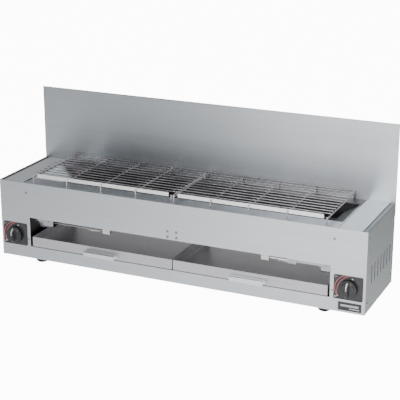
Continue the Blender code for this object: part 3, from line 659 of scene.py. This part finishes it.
def front_sheet():
    low, high = span("front_panel")
    flange = high.y - low.y
    panel = folded("front_sheet", (low.x, high.y, high.z), (high.x - low.x, 0, 0),
                   [(0, -flange, 0), (0, 0, low.z - high.z), (0, flange, 0)], out=(0, -1, 0))
    cut(panel, block("window", (-WINDOW_HALF, low.y - 0.01, WINDOW_LOW),
                     (WINDOW_HALF, low.y + 0.005, WINDOW_HIGH)))
    for side in SIDES.values():
        spindle_hole(panel, side, low.y, low.y)
        cut(panel, block("notch", (side * RECESS_HALF, low.y + SHEET, high.z - 0.008),
                         (side * (high.x + 0.01), high.y + 0.01, high.z + 0.01)))
        cut(panel, block("notch", (side * (high.x - flange), low.y + SHEET, low.z - 0.01),
                         (side * (high.x + 0.01), high.y + 0.01, low.z + 0.008)))
    return fit(soften(panel, EDGE_BREAK), "casing", "brushed_steel", replaces=["front_panel"])


panel = front_sheet()
print("front panel:", len(panel.data.polygons), "faces")

# %% [markdown]
# ## Side panels and decks
#
# Each end has a side sheet with seven upright slots that let cooling air in. The slot is
# modelled once as a cutter with round ends and repeated with an Array modifier, so one
# boolean makes the whole row. A deck, folded down along both long edges, closes the top.

# %% Side panels and decks
SLOT_COUNT = 7
SLOT_PITCH = 30.7 * MM
SLOT_WIDTH = 5.5 * MM
SLOT_LOW = BODY[0][2] + 0.079
SLOT_HIGH = BODY[0][2] + 0.135
HOPPER_MIDDLE_Y = 6 * MM


def slot_cutter(x):
    first = HOPPER_MIDDLE_Y - SLOT_PITCH * (SLOT_COUNT - 1) / 2
    cutter = block("slots", (x - 0.005, first - SLOT_WIDTH / 2, SLOT_LOW),
                   (x + 0.005, first + SLOT_WIDTH / 2, SLOT_HIGH))
    round_off(cutter, lambda edge: run(edge, "X") > MM, 0.48 * SLOT_WIDTH, 5)
    return repeat(cutter, SLOT_COUNT, (0, SLOT_PITCH, 0))


def side_sheet(side, sign):
    low, high = span(f"{side}_side_panel")
    flange = high.x - low.x
    outer = sign * max(abs(low.x), abs(high.x))
    sheet = folded(f"{side}_side_sheet", (outer - sign * flange, low.y, high.z),
                   (0, high.y - low.y, 0),
                   [(sign * flange, 0, 0), (0, 0, low.z - high.z), (-sign * flange, 0, 0)],
                   out=(sign, 0, 0))
    cut(sheet, slot_cutter(outer))
    return fit(soften(sheet, EDGE_BREAK), "casing", "shaded_side_steel",
               [f"{side}_side_panel"])


def deck_sheet(side):
    low, high = span(f"{side}_deck")
    drop = high.z - low.z
    sheet = folded(f"{side}_deck_sheet", low, (0, high.y - low.y, 0),
                   [(0, 0, drop), (high.x - low.x, 0, 0), (0, 0, -drop)], out=(0, 0, 1))
    return fit(soften(sheet, EDGE_BREAK), "casing", "lit_deck_steel",
               [f"{side}_deck"])


for side, sign in SIDES.items():
    side_sheet(side, sign)
    deck_sheet(side)
print("side panels and decks:", SLOT_COUNT, "slots a side")

# %% [markdown]
# ## Back guard
#
# The guard stops grease from reaching the wall. Its top edge is folded back on itself, which
# stiffens it and leaves no sharp rim to cut a cloth on.

# %% Back guard
GUARD_HEM = 15 * MM


def guard_sheet():
    low, high = span("back_guard")
    sheet = folded("guard_sheet", low, (high.x - low.x, 0, 0),
                   [(0, 0, high.z - low.z), (0, high.y - low.y, 0), (0, 0, -GUARD_HEM)],
                   out=(0, -1, 0), bend=1.8 * MM, segments=4)
    return fit(soften(sheet, EDGE_BREAK), "casing", "guard_steel",
               ["back_guard"])


def guard_end(side, sign):
    """The short return at an end of the guard, folded back like its top."""
    low, high = span("back_guard")
    back = high.y - low.y - SHEET
    edge = folded(f"{side}_guard_end", (sign * high.x, low.y + SHEET, low.z),
                  (0, 0, high.z - low.z - GUARD_HEM - 2 * MM),
                  [(0, back, 0), (-sign * 0.010, 0, 0)], out=(0, 1, 0), bend=1.5 * MM)
    return fit(edge, "casing", "guard_steel")


guard = guard_sheet()
for side, sign in SIDES.items():
    guard_end(side, sign)
print("guard stands", round(span("back_guard")[1].z, 3), "m above the counter")

# %% [markdown]
# ## Hopper
#
# Four sheets frame the fire. The front and rear ones are flat shelves that the grates stand
# on, and those at the ends roll over and slope in. All four drop to a ledge that carries
# the radiant plates. The fold lines grow shorter towards the bottom, so that the sheets
# meet in mitres at the corners.

# %% Hopper
HOPPER = ((0.5110, -0.1235, 0.1355, 0.2635), (0.5070, -0.0800, 0.0920, 0.2635),
          (0.4550, -0.0780, 0.0900, 0.2320), (0.4550, -0.0780, 0.0900, 0.2000),
          (0.4450, -0.0680, 0.0800, 0.2000))        # half length, front, rear, height
MITRE_GAP = 0.8 * MM


def baffle(name, line, axis, look):
    """line(fold) gives the middle of a fold line and axis the way it runs."""
    middles = [Vector(line(fold)) for fold in HOPPER]
    lengths = [(2 * fold[0] if axis.x else fold[2] - fold[1]) - MITRE_GAP for fold in HOPPER]
    sheet = folded(f"{name}_sheet", middles[0] - axis * lengths[0] / 2, axis * lengths[0],
                   [b - a for a, b in zip(middles, middles[1:])], look, lengths[1:],
                   bend=1.8 * MM, segments=4)
    return fit(soften(sheet, EDGE_BREAK), "casing", "hopper_steel", [name])


ALONG_X, ALONG_Y = Vector((1, 0, 0)), Vector((0, 1, 0))
baffle("front_baffle", lambda f: (0, f[1], f[3]), ALONG_X, (0, 1, 1))
baffle("rear_baffle", lambda f: (0, f[2], f[3]), ALONG_X, (0, -1, 1))
baffle("left_baffle", lambda f: (-f[0], (f[1] + f[2]) / 2, f[3]), ALONG_Y, (1, 0, 1))
baffle("right_baffle", lambda f: (f[0], (f[1] + f[2]) / 2, f[3]), ALONG_Y, (-1, 0, 1))
print("hopper narrows from", 2 * HOPPER[0][0], "to", 2 * HOPPER[-1][0], "m")

# %% [markdown]
# ## Radiant plates
#
# A plate folded into four ridges lies over each burner. The flames heat it, it glows, and
# fat that falls on it flares and is gone. Long slots in its valleys let the flame through.

# %% Radiant plates
RIDGES, VALLEY_SLOTS = 4, 3
FLAME_SLOT = Vector((0.055, 0.0045))             # half length and half width
LEDGE_FRONT, LEDGE_REAR = HOPPER[-1][1:3]


def radiant_plate(side):
    low, high = span(f"{side}_radiant")
    foot, crest = low.z + SHEET, high.z
    pitch = (LEDGE_REAR - LEDGE_FRONT) / RIDGES
    points = [(low.y, foot)]
    for index in range(2 * RIDGES + 1):
        points.append((LEDGE_FRONT + pitch * index / 2, crest if index % 2 else foot))
    points.append((high.y, foot))
    moves = [(0, b[0] - a[0], b[1] - a[1]) for a, b in zip(points, points[1:])]
    plate = folded(f"{side}_radiant_plate", (low.x, *points[0]), (high.x - low.x, 0, 0),
                   moves, out=(0, 0, 1), bend=2 * MM)
    slots = []
    for valley in range(1, RIDGES):
        y = LEDGE_FRONT + pitch * valley
        for index in range(VALLEY_SLOTS):
            x = low.x + (high.x - low.x) * (index + 0.5) / VALLEY_SLOTS
            slots.append(block("slot", (x - FLAME_SLOT.x, y - FLAME_SLOT.y, foot - 0.01),
                               (x + FLAME_SLOT.x, y + FLAME_SLOT.y, foot + 0.01)))
    cut(plate, join("slots", slots))
    return fit(soften(plate, EDGE_BREAK), f"{side}_heat_plate", "heat_stained_steel",
               replaces=[f"{side}_radiant"])


for side in SIDES:
    radiant_plate(side)
print("radiant plates:", RIDGES, "ridges each")

# %% [markdown]
# ## Wire grates
#
# Food lies on bent cross rods, whose ends turn down and stand on the hopper. Long wires are
# welded under them, and a flat bar runs along the front. One rod is drawn out from a circle
# with extrude and spin, and Array copies it. A small bead of metal marks each weld.

# %% One bent rod, and the arrays of wires
ROD_RADIUS, WIRE_RADIUS = 2.0 * MM, 1.5 * MM
CROSS_RODS, LONG_WIRES = 5, 11
WIRE_FRONT_Y, WIRE_PITCH = -0.100, 0.0228
WIRE_DROP = 2.9 * MM
LEG_FRONT_Y, LEG_REAR_Y = -0.1215, 0.1335
LEG_BEND = 6 * MM
OVERHANG = 3.5 * MM
BEAD = (2.4 * MM, 2.4 * MM, 0.8 * MM)
RIM_THICK, RIM_HEIGHT, RIM_INSET = 3 * MM, 12.5 * MM, 11 * MM


def bent_rod(x, foot, top):
    """A rod up from its front foot, over, and down to its rear foot."""
    clear()
    bpy.ops.mesh.primitive_circle_add(vertices=16, radius=ROD_RADIUS,
                                      location=(x, LEG_FRONT_Y, foot))
    rod = named("rod")
    choose(rod, "VERT", lambda vert: True)
    rise = top - LEG_BEND
    quarter = {"steps": 6, "angle": math.pi / 2, "axis": (-1, 0, 0)}
    pull_out(0, 0, rise - foot)
    bpy.ops.mesh.spin(center=(x, LEG_FRONT_Y + LEG_BEND, rise), **quarter)
    pull_out(0, LEG_REAR_Y - LEG_FRONT_Y - 2 * LEG_BEND, 0)
    bpy.ops.mesh.spin(center=(x, LEG_REAR_Y - LEG_BEND, rise), **quarter)
    pull_out(0, 0, foot - rise)
    bpy.ops.mesh.select_all(action="SELECT")
    bpy.ops.mesh.fill_holes(sides=0)
    face_outwards()
    return soften(rod, 0.5 * MM, angle=60)


def weld_beads(x, y, z, pitch_x):
    clear()
    bpy.ops.mesh.primitive_uv_sphere_add(segments=10, ring_count=6, location=(x, y, z))
    bpy.context.object.scale = BEAD
    bead = repeat(named("bead"), CROSS_RODS, (pitch_x, 0, 0))
    return repeat(bead, LONG_WIRES, (0, WIRE_PITCH, 0))


def wire_grate(side):
    low, high = span(f"{side}_grate")
    left, right = low.x + OVERHANG, high.x - OVERHANG
    rod_z = high.z - ROD_RADIUS
    wire_z = rod_z - WIRE_DROP
    pitch = (right - left) / (CROSS_RODS - 1)
    rods = repeat(bent_rod(left, low.z, rod_z), CROSS_RODS, (pitch, 0, 0))
    wire = soften(bar("wire", (low.x, WIRE_FRONT_Y, wire_z), (high.x, WIRE_FRONT_Y, wire_z),
                      WIRE_RADIUS, sides=16), 0.6 * MM, segments=3, angle=60)
    wires = repeat(wire, LONG_WIRES, (0, WIRE_PITCH, 0))
    rim_top = wire_z + WIRE_RADIUS
    rim = block("rim", (left + RIM_INSET, RIM_Y - RIM_THICK / 2, rim_top - RIM_HEIGHT),
                (right - RIM_INSET, RIM_Y + RIM_THICK / 2, rim_top))
    soften(rim, 0.8 * MM, segments=3)
    beads = weld_beads(left, WIRE_FRONT_Y, rod_z - WIRE_DROP / 2, pitch)
    grate = join(f"{side}_wire_grate", [rods, wires, rim, beads])
    return fit(grate, f"{side}_grill", "steel_wire", replaces=[f"{side}_grate"], angle=50)


for side in SIDES:
    grate = wire_grate(side)
print("each grate:", CROSS_RODS, "rods,", LONG_WIRES, "wires,",
      len(grate.data.polygons), "faces")

# %% [markdown]
# ## Drip pans and their pulls
#
# A pan is an open box with a turned-in rim. We delete a cube's lid, round the corners, fold
# the rim inwards and down, and let Solidify turn the shell into sheet. Its pull is a folded
# strip: a tab against the front, a shelf, and a lip for the fingers.

# %% Pans and pulls
RIM_FOLD = 2.6 * MM
RIM_DROP = 6 * MM


def drip_pan(side):
    low, high = span(f"{side}_drip_pan")
    size, middle = high - low, (low + high) / 2
    pan = block(f"{side}_pan_tray", low, high)
    choose(pan, "FACE", lambda face: face.normal.z > 0.5)
    bpy.ops.mesh.delete(type="FACE")
    leave()
    round_off(pan, lambda edge: len(edge.link_faces) == 2, 3 * MM, 4)
    choose(pan, "EDGE", lambda edge: len(edge.link_faces) == 1)
    bpy.ops.mesh.extrude_region_move()
    shrink = [(size.x - 2 * RIM_FOLD) / size.x, (size.y - 2 * RIM_FOLD) / size.y, 1.0]
    bpy.ops.transform.resize(value=shrink, center_override=middle)
    pull_out(0, 0, -RIM_DROP)
    face_outwards()
    round_off(pan, lambda edge: len(edge.link_faces) == 2 and middle_of(edge).z > high.z - MM
              and run(edge, "Z") < 0.01 * MM and edge.calc_face_angle() > 1.0, 1.1 * MM, 3)
    face_towards(pan, (0, 0, -1))
    modify(pan, "SOLIDIFY", thickness=SHEET, offset=-1.0, use_even_offset=True)
    return fit(pan, f"{side}_pan", "pan_steel", replaces=[f"{side}_drip_pan"])


def pan_pull(side):
    low, high = span(f"{side}_pan_handle")
    drop = high.z - low.z
    pull = folded(f"{side}_pan_pull", low, (high.x - low.x, 0, 0),
                  [(0, 0, drop), (0, high.y - low.y, 0), (0, 0, -drop)], out=(0, -1, 0),
                  bend=3 * MM, segments=5)
    return fit(soften(pull, EDGE_BREAK), f"{side}_pan", "pull_steel",
               [f"{side}_pan_handle"])


for side in SIDES:
    drip_pan(side)
    pan_pull(side)
print("pans:", [round(v, 3) for v in span("left_drip_pan")[1] - span("left_drip_pan")[0]], "m")

# %% [markdown]
# ## Knobs
#
# The cook pushes a knob in and turns it. It has a round skirt with a rolled rim and an
# upright grip that tapers forwards. The skirt starts as a cylinder and the grip as a cube.
# A white line painted on the grip shows which way it points. One finish serves both knobs,
# because it measures from |x|, which is the same at both ends.

# %% Knobs
SKIRT = 6 * MM
GRIP_HALF = 6.8 * MM
LINE_SPAN = (1 * MM, 22 * MM)                    # the painted line, up from the axis


def knob_plastic():
    """Moulded black, with the pointer line painted down the upper slope of the grip."""
    finish = moulded("knob_plastic", (0.026, 0.026, 0.028), (0.045, 0.045, 0.048), 0.24, 0.42)
    x, y, z = (across(finish, axis) for axis in "XYZ")
    off_axis = x.maths("ABSOLUTE", x) - KNOB_X
    off_axis = off_axis.maths("ABSOLUTE", off_axis)
    width = (z - KNOB_Z) * 0.06 + 0.0009
    line = within(off_axis - width, 0.0) * (1 - within(z, KNOB_Z + LINE_SPAN[0]))
    line = line * within(z, KNOB_Z + LINE_SPAN[1])
    line = line * within(y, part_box("left_knob")[1][1] - SKIRT - MM)
    return finish.paint(base_color=finish.mix(finish.colour(), (0.80, 0.80, 0.79), line))


FINISHES["knob_plastic"] = knob_plastic()


def knob(side):
    low, high = span(f"{side}_knob")
    x, z = (low.x + high.x) / 2, (low.z + high.z) / 2
    radius = (high.x - low.x) / 2
    back, front = high.y, low.y
    skirt = bar("skirt", (x, back, z), (x, back - SKIRT, z), radius, sides=64)
    choose(skirt, "FACE", lambda face: face.normal.y < -0.9)
    bpy.ops.mesh.inset(thickness=1.2 * MM)
    bpy.ops.mesh.inset(thickness=3.2 * MM)
    pull_out(0, -2.5 * MM, 0)
    bpy.ops.transform.resize(value=(0.94, 1, 0.94), center_override=(x, back - SKIRT, z))
    leave()
    soften(skirt, 0.9 * MM, segments=3, angle=28)
    grip = block("grip", (x - GRIP_HALF, back - SKIRT, z - radius + 2 * MM),
                 (x + GRIP_HALF, front, z + radius - 2 * MM))
    choose(grip, "FACE", lambda face: face.normal.y < -0.9)
    bpy.ops.transform.resize(value=(0.62, 1, 0.56), center_override=(x, front, z - 4 * MM))
    leave()
    round_off(grip, lambda edge: run(edge, "Y") > 8 * MM, 2.8 * MM, 5)
    soften(grip, 1.2 * MM, segments=4)
    whole = join(f"{side}_turn_knob", [skirt, grip])
    return fit(whole, f"{side}_control", "knob_plastic", [f"{side}_knob"])


for side in SIDES:
    knob(side)
print("knobs:", round(2000 * KNOB_X), "mm apart")

# %% [markdown]
# ## Dial plates and the blank plate
#
# Behind each knob is a dark plate, printed with a red crescent and pale dots. A print has
# no thickness, so it belongs in the material: the distance from the knob's axis, worked out
# with shader arithmetic, says where the ink is. The plate below has two blank pale bars.

# %% Printed plates
DIAL_RADIUS = 40.5 * MM
DIAL_INNER = 52.0 * MM
DIAL_SHIFT = (19.0 * MM, -11.2 * MM)
LINE = 1.4 * MM
MARKS = ((10.6, 31.5, 1.6), (13.0, 30.6, 1.6), (-38.0, -27.0, 1.9), (-34.5, -25.6, 1.2),
         (-31.0, -24.2, 1.9), (-37.0, 35.0, 1.0), (-33.5, 32.5, 1.0), (-38.5, 31.0, 0.9))


def distance(x, z, centre):
    dx, dz = x - centre[0], z - centre[1]
    squares = dx * dx + dz * dz
    return squares.maths("SQRT", squares)


def box_mask(x, z, low, high):
    """1 inside an upright rectangle."""
    sideways = within(x, high[0]) * (1 - within(x, low[0]))
    return sideways * within(z, high[1]) * (1 - within(z, low[1]))


def dial_print():
    """Ink on both dial plates, placed from each knob's own axis."""
    finish = Finish("dial_print", coat_weight=0.3, coat_roughness=0.15)
    x = across(finish, "X")
    right = x - x.maths("SIGN", x) * KNOB_X
    up = across(finish, "Z") - KNOB_Z
    from_axis = distance(right, up, (0.0, 0.0))
    from_inner = distance(right, up, DIAL_SHIFT)
    crescent = within(from_axis, DIAL_RADIUS) * (1 - within(from_inner, DIAL_INNER))
    core = within(from_axis, DIAL_RADIUS - LINE) * (1 - within(from_inner, DIAL_INNER + LINE))
    marks = 0.0
    for across_mm, up_mm, size in MARKS:
        marks = within(distance(right, up, (across_mm * MM, up_mm * MM)), size * MM) + marks
    ground = ((0.35, (0.022, 0.021, 0.024)), (0.65, (0.036, 0.034, 0.038)))
    skin(finish, finish.noise(30.0), ground, finish.noise(1400.0, detail=2.0), (0.26, 0.44),
         0.00003)
    rim = finish.mix(finish.colour(), (0.66, 0.20, 0.21), crescent)
    filled = finish.mix(rim, (0.070, 0.012, 0.018), core)
    return finish.paint(base_color=finish.mix(filled, (0.75, 0.75, 0.74), marks))


FINISHES["dial_print"] = dial_print()


def dial_plate(side, sign):
    low, high = span(f"{side}_dial_plate")
    plate = block(f"{side}_dial", low, high)
    round_off(plate, lambda edge: run(edge, "Y") > MM, 4 * MM, 6)
    spindle_hole(plate, sign, low.y, high.y)
    soften(plate, 0.3 * MM)
    return fit(plate, "casing", "dial_print", [f"{side}_dial_plate"])


def blank_plate():
    low, high = span("label_plate")
    finish = Finish("blank_plate_print", coat_weight=0.2, coat_roughness=0.2)
    x, z = across(finish, "X"), across(finish, "Z")
    wide = box_mask(x, z, (low.x + 8 * MM, low.z + 12 * MM), (high.x - 8 * MM, high.z - 7 * MM))
    thin = box_mask(x, z, (low.x + 34 * MM, low.z + 5 * MM), (high.x - 6 * MM, low.z + 8 * MM))
    drift = finish.noise(40.0)
    ground = finish.ramp(drift, (0.35, (0.030, 0.031, 0.034)), (0.65, (0.050, 0.051, 0.055)))
    finish.paint(base_color=finish.mix(ground, (0.60, 0.60, 0.61), wide + thin),
                 roughness=finish.between(drift, 0.30, 0.50),
                 normal=finish.bump(finish.noise(1200.0), 0.00003))
    FINISHES["blank_plate_print"] = finish
    plate = soften(block("blank_plate", low, high), 0.3 * MM)
    return fit(plate, "casing", "blank_plate_print", ["label_plate"])


for side, sign in SIDES.items():
    dial_plate(side, sign)
blank_plate()
print("printed plates: 2 dials, 1 blank")

# %% [markdown]
# ## Feet and gas inlet
#
# The feet are turned rubber with a groove. The inlet is a brass nipple whose thread we make
# as rings: one ring, copied along the tube by Array, which at this size looks like a thread.


# %% Feet and inlet
FOOT_RADIUS = 20.5 * MM
FOOT_SHIFT = 6 * MM                              # the bowls stand out from their bolts
FOOT_PROFILE = (0.70, 0.86, 0.95, 0.99, 0.96, 1.0)


def rubber_foot(name):
    """A shallow rubber bowl under the casing, on a pad that grips the counter."""
    low, high = span(name)
    middle = (low + high) / 2
    outwards = math.copysign(FOOT_SHIFT, middle.y)
    centre = (middle.x, middle.y + outwards)
    top = span("front_panel")[0].z - 0.2 * MM
    foot = bar(f"{name}_pad", (*centre, low.z), (*centre, top), FOOT_RADIUS, sides=48)
    choose(foot, "EDGE", lambda edge: edge.verts[0].co.z != edge.verts[1].co.z)
    bpy.ops.mesh.subdivide(number_cuts=5)
    leave()
    levels = sorted({round(vert.co.z, 5) for vert in foot.data.vertices})
    for level, ratio in zip(levels, FOOT_PROFILE):
        choose(foot, "VERT", lambda vert: abs(vert.co.z - level) < 0.1 * MM)
        bpy.ops.transform.resize(value=(ratio, ratio, 1), center_override=(*centre, level))
        leave()
    soften(foot, 0.5 * MM, angle=25)
    return fit(foot, "casing", "black_rubber", replaces=[name])


def threaded_inlet():
    low, high = span("gas_inlet")
    x, z = (low.x + high.x) / 2, (low.z + high.z) / 2
    radius, crest = 10.4 * MM, 0.7 * MM
    thread_start = high.y - 20 * MM
    pitch = 1.8 * MM
    tube = bar("tube", (x, low.y, z), (x, high.y - 0.5 * MM, z), radius - crest, sides=48)
    ring = bar("ring", (x, thread_start, z), (x, thread_start + 1.5 * MM, z), radius, sides=48)
    soften(ring, 0.6 * MM, segments=1)
    rings = repeat(ring, 11, (0, pitch, 0))
    panel_back = span("rear_panel")[1].y
    nut = bar("nut", (x, panel_back + 0.3 * MM, z), (x, panel_back + 11 * MM, z),
              15.5 * MM, sides=6)
    soften(nut, 0.8 * MM)
    inlet = join("threaded_inlet", [tube, rings, nut])
    cut(inlet, bar("bore", (x, high.y - 0.030, z), (x, high.y + 0.01, z), 6 * MM, sides=32))
    return fit(inlet, "casing", "brass", replaces=["gas_inlet"])


for end in ("front", "rear"):
    for side in SIDES:
        rubber_foot(f"{end}_{side}_foot")
threaded_inlet()
print("feet: 4, inlet ends at y", round(span("gas_inlet")[1].y, 3))

# %% [markdown]
# ## Brackets behind the window
#
# The burners hang on small plates that are fixed behind the panel and show below the
# window's upper edge. Each is cut from sheet, and three have a hole for a screw. A bevel on
# the lower corners takes off their points.

# %% Window brackets
BRACKET_TOP = WINDOW_HIGH + 11 * MM


def bracket(name, left, right, bottom, hole_x):
    front = span("front_panel")[0].y + SHEET + 0.3 * MM
    plate = block(name, (left, front, bottom), (right, front + SHEET, BRACKET_TOP))
    round_off(plate, lambda edge: middle_of(edge).z < bottom + 0.1 * MM
              and run(edge, "Y") > 0.5 * MM, 1.5 * MM, 3)
    if hole_x:
        z = WINDOW_HIGH - 4.5 * MM
        cut(plate, bar("hole", (hole_x, front - MM, z), (hole_x, front + 3 * MM, z), 2.2 * MM,
                       sides=20))
    return fit(soften(plate, EDGE_BREAK), "casing", "bracket_steel")


BRACKETS = {          # left edge, right edge, how much shows in the window, hole
    "right_strip": (0.392, 0.467, 8 * MM, None),
    "right_inner": (0.365, 0.392, 14 * MM, 0.380),
    "right_end": (0.467, 0.4935, 20 * MM, 0.481),
    "left_wide": (-0.447, -0.411, 19 * MM, -0.4275),
    "left_small": (-0.464, -0.449, 8 * MM, None),
}
for name, (left, right, shown, hole_x) in BRACKETS.items():
    bracket(f"{name}_bracket", left, right, WINDOW_HIGH - shown, hole_x)
print("window brackets:", len(BRACKETS))

# %% [markdown]
# ## Screws
#
# Cross-recessed pan-head screws hold the sheets. One is modelled at the origin, pointing
# along -Y: a cylinder with a rolled rim, less a cross. Its copies are turned and moved into
# place, each with its own mesh, and those of one panel are joined.

# %% Screws
HEAD_RADIUS, HEAD_HEIGHT = 3.3 * MM, 1.8 * MM


def one_screw():
    head = bar("screw", (0, 0, 0), (0, -HEAD_HEIGHT, 0), HEAD_RADIUS, sides=32)
    round_off(head, lambda edge: middle_of(edge).y < -0.9 * HEAD_HEIGHT, 1.1 * MM, 4)
    arm, slot, depth = 2.0 * MM, 0.45 * MM, 1.1 * MM
    top, bottom = -HEAD_HEIGHT - MM, depth - HEAD_HEIGHT
    cut(head, block("arm", (-arm, top, -slot), (arm, bottom, slot)))
    return cut(head, block("arm", (-slot, top, -arm), (slot, bottom, arm)))


PATTERN = one_screw()


def screws(name, places, facing, size=1.0):
    """Copy the pattern to each place, facing outwards, and join the copies."""
    copies = []
    for index, place in enumerate(places):
        activate(PATTERN)
        bpy.ops.object.duplicate()
        copy = bpy.context.object
        spin = Matrix.Rotation(0.7 + 1.9 * index, 4, "Y")
        turn = Vector((0, -1, 0)).rotation_difference(Vector(facing)).to_matrix().to_4x4()
        copy.matrix_world = Matrix.Translation(place) @ turn @ spin @ Matrix.Scale(size, 4)
        copies.append(named("screw_copy"))
    return fit(join(name, copies), "casing", "screw_steel")


front_y = span("front_panel")[0].y
screws("front_screws", [(x, front_y, 0.232) for x in (-0.504, 0.504)], (0, -1, 0))
screws("window_screws", [(x, front_y, z) for x in (-0.0145, 0.0145) for z in (0.160, 0.177)],
       (0, -1, 0), size=1.15)
screws("shelf_screws", [(x, front_y, 0.078) for x in (-0.502, 0.502)], (0, -1, 0), size=0.8)
for side, sign in SIDES.items():
    edge = sign * CAD_HIGH[0]
    places = [(edge, y, z) for y in (-0.117, 0.122) for z in (0.241, 0.046)]
    screws(f"{side}_side_screws", places, (sign, 0, 0))
guard_back = span("rear_panel")[1].y + 1.5 * MM
places = [(x, guard_back, 0.245) for x in (-0.56, -0.28, 0.0, 0.28, 0.56)]
screws("rear_screws", places, (0, 1, 0))
bpy.data.objects.remove(PATTERN)
print("screws placed")

# %% [markdown]
# ## The parts that keep their shape
#
# Burners, pipes, taps and inner sheets are right as engineered, and only need their finish.
# The record names each node's material slot, so one loop paints them all. It paints the
# nodes that new pieces stand for too, which are hidden.

# %% Paint the remaining engineering nodes
for part in frame["record"]["subparts"]:
    node = frame["nodes"][part["node"]]
    node.data.materials.clear()
    node.data.materials.append(FINISHES[part["material_slot"]].material)

# %% [markdown]
# ## Floor and light
#
# Steel shows whatever stands round it, so the light is arranged for its reflections. The
# floor and the sky look almost white, but give the steel less light than they show. A pool
# of light on the floor ahead brightens the front. One big soft panel stands before the grill
# and another above it to the right, and a faint lamp near the rear of each half stands for
# the light that bounces about inside the casing.


# %% Floor and light
def seen_by_camera(tree):
    """1 for rays that come straight from the camera, so that a backdrop looks brighter
    than the light it gives."""
    return tree.nodes.new("ShaderNodeLightPath").outputs["Is Camera Ray"]


FLOOR_GLOW = 12.0
POOL_CENTRE, POOL_SIZE, POOL_LIGHT = (0.55, -1.0), (1.10, 0.80), 1.22


def pale_floor():
    """A white sheet with a pool of light on it, ahead of the grill and to the right."""
    clear()
    bpy.ops.mesh.primitive_plane_add(size=80.0)
    floor = named("floor")
    finish = Finish("pale_floor", roughness=0.9, emission_strength=FLOOR_GLOW)
    speckle = finish.noise(5.0)
    side = (across(finish, "X") - POOL_CENTRE[0]) * (1.0 / POOL_SIZE[0])
    ahead = (across(finish, "Y") - POOL_CENTRE[1]) * (1.0 / POOL_SIZE[1])
    falloff = side * side + ahead * ahead + 1.0
    pool = falloff.maths("DIVIDE", POOL_LIGHT / FLOOR_GLOW, falloff)
    glow = finish.ramp(pool, (0.0, 0.0), (1.0, 1.0))
    seen = Signal(finish, seen_by_camera(finish.tree))
    finish.paint(base_color=finish.ramp(speckle, (0.3, 0.84), (0.7, 0.87)),
                 emission_color=finish.mix(glow, (1.0, 1.0, 1.0), seen))
    floor.data.materials.append(finish.material)
    return floor


def sky(strength, shown):
    world = bpy.data.worlds.new("studio")
    bpy.context.scene.world = world
    world.use_nodes = True
    tree = world.node_tree
    level = tree.nodes.new("ShaderNodeMapRange")
    tree.links.new(seen_by_camera(tree), level.inputs[0])
    level.inputs[3].default_value = strength
    level.inputs[4].default_value = shown
    background = tree.nodes["Background"]
    background.inputs["Color"].default_value = (0.97, 0.985, 1.0, 1.0)
    tree.links.new(level.outputs[0], background.inputs["Strength"])


def light_panel(name, place, target, size, radiance):
    """A soft panel that aims at a point. Its power follows from how bright it looks."""
    data = bpy.data.lights.new(name, "AREA")
    data.shape = "RECTANGLE"
    data.size, data.size_y = size
    data.energy = radiance * math.pi * size[0] * size[1]
    lamp = bpy.data.objects.new(name, data)
    bpy.context.collection.objects.link(lamp)
    lamp.location = place
    lamp.rotation_euler = (Vector(target) - Vector(place)).to_track_quat("-Z", "Y").to_euler()
    lamp.visible_camera = False
    return lamp


pale_floor()
sky(0.35, FLOOR_GLOW)
light_panel("front_soft", (-0.30, -3.3, 1.5), (0.0, 0.0, 0.2), (1.7, 1.6), 4.7)
light_panel("side_soft", (1.3, -0.5, 2.0), (0.4, 0.0, 0.25), (1.2, 1.0), 8.0)
for side, sign in SIDES.items():
    x, z = sign * 0.245, 0.118                   # near the casing's rear
    light_panel(f"{side}_inner_fill", (x, 0.118, z), (x, -1.0, z), (0.47, 0.12), 0.33)
print("lights placed")
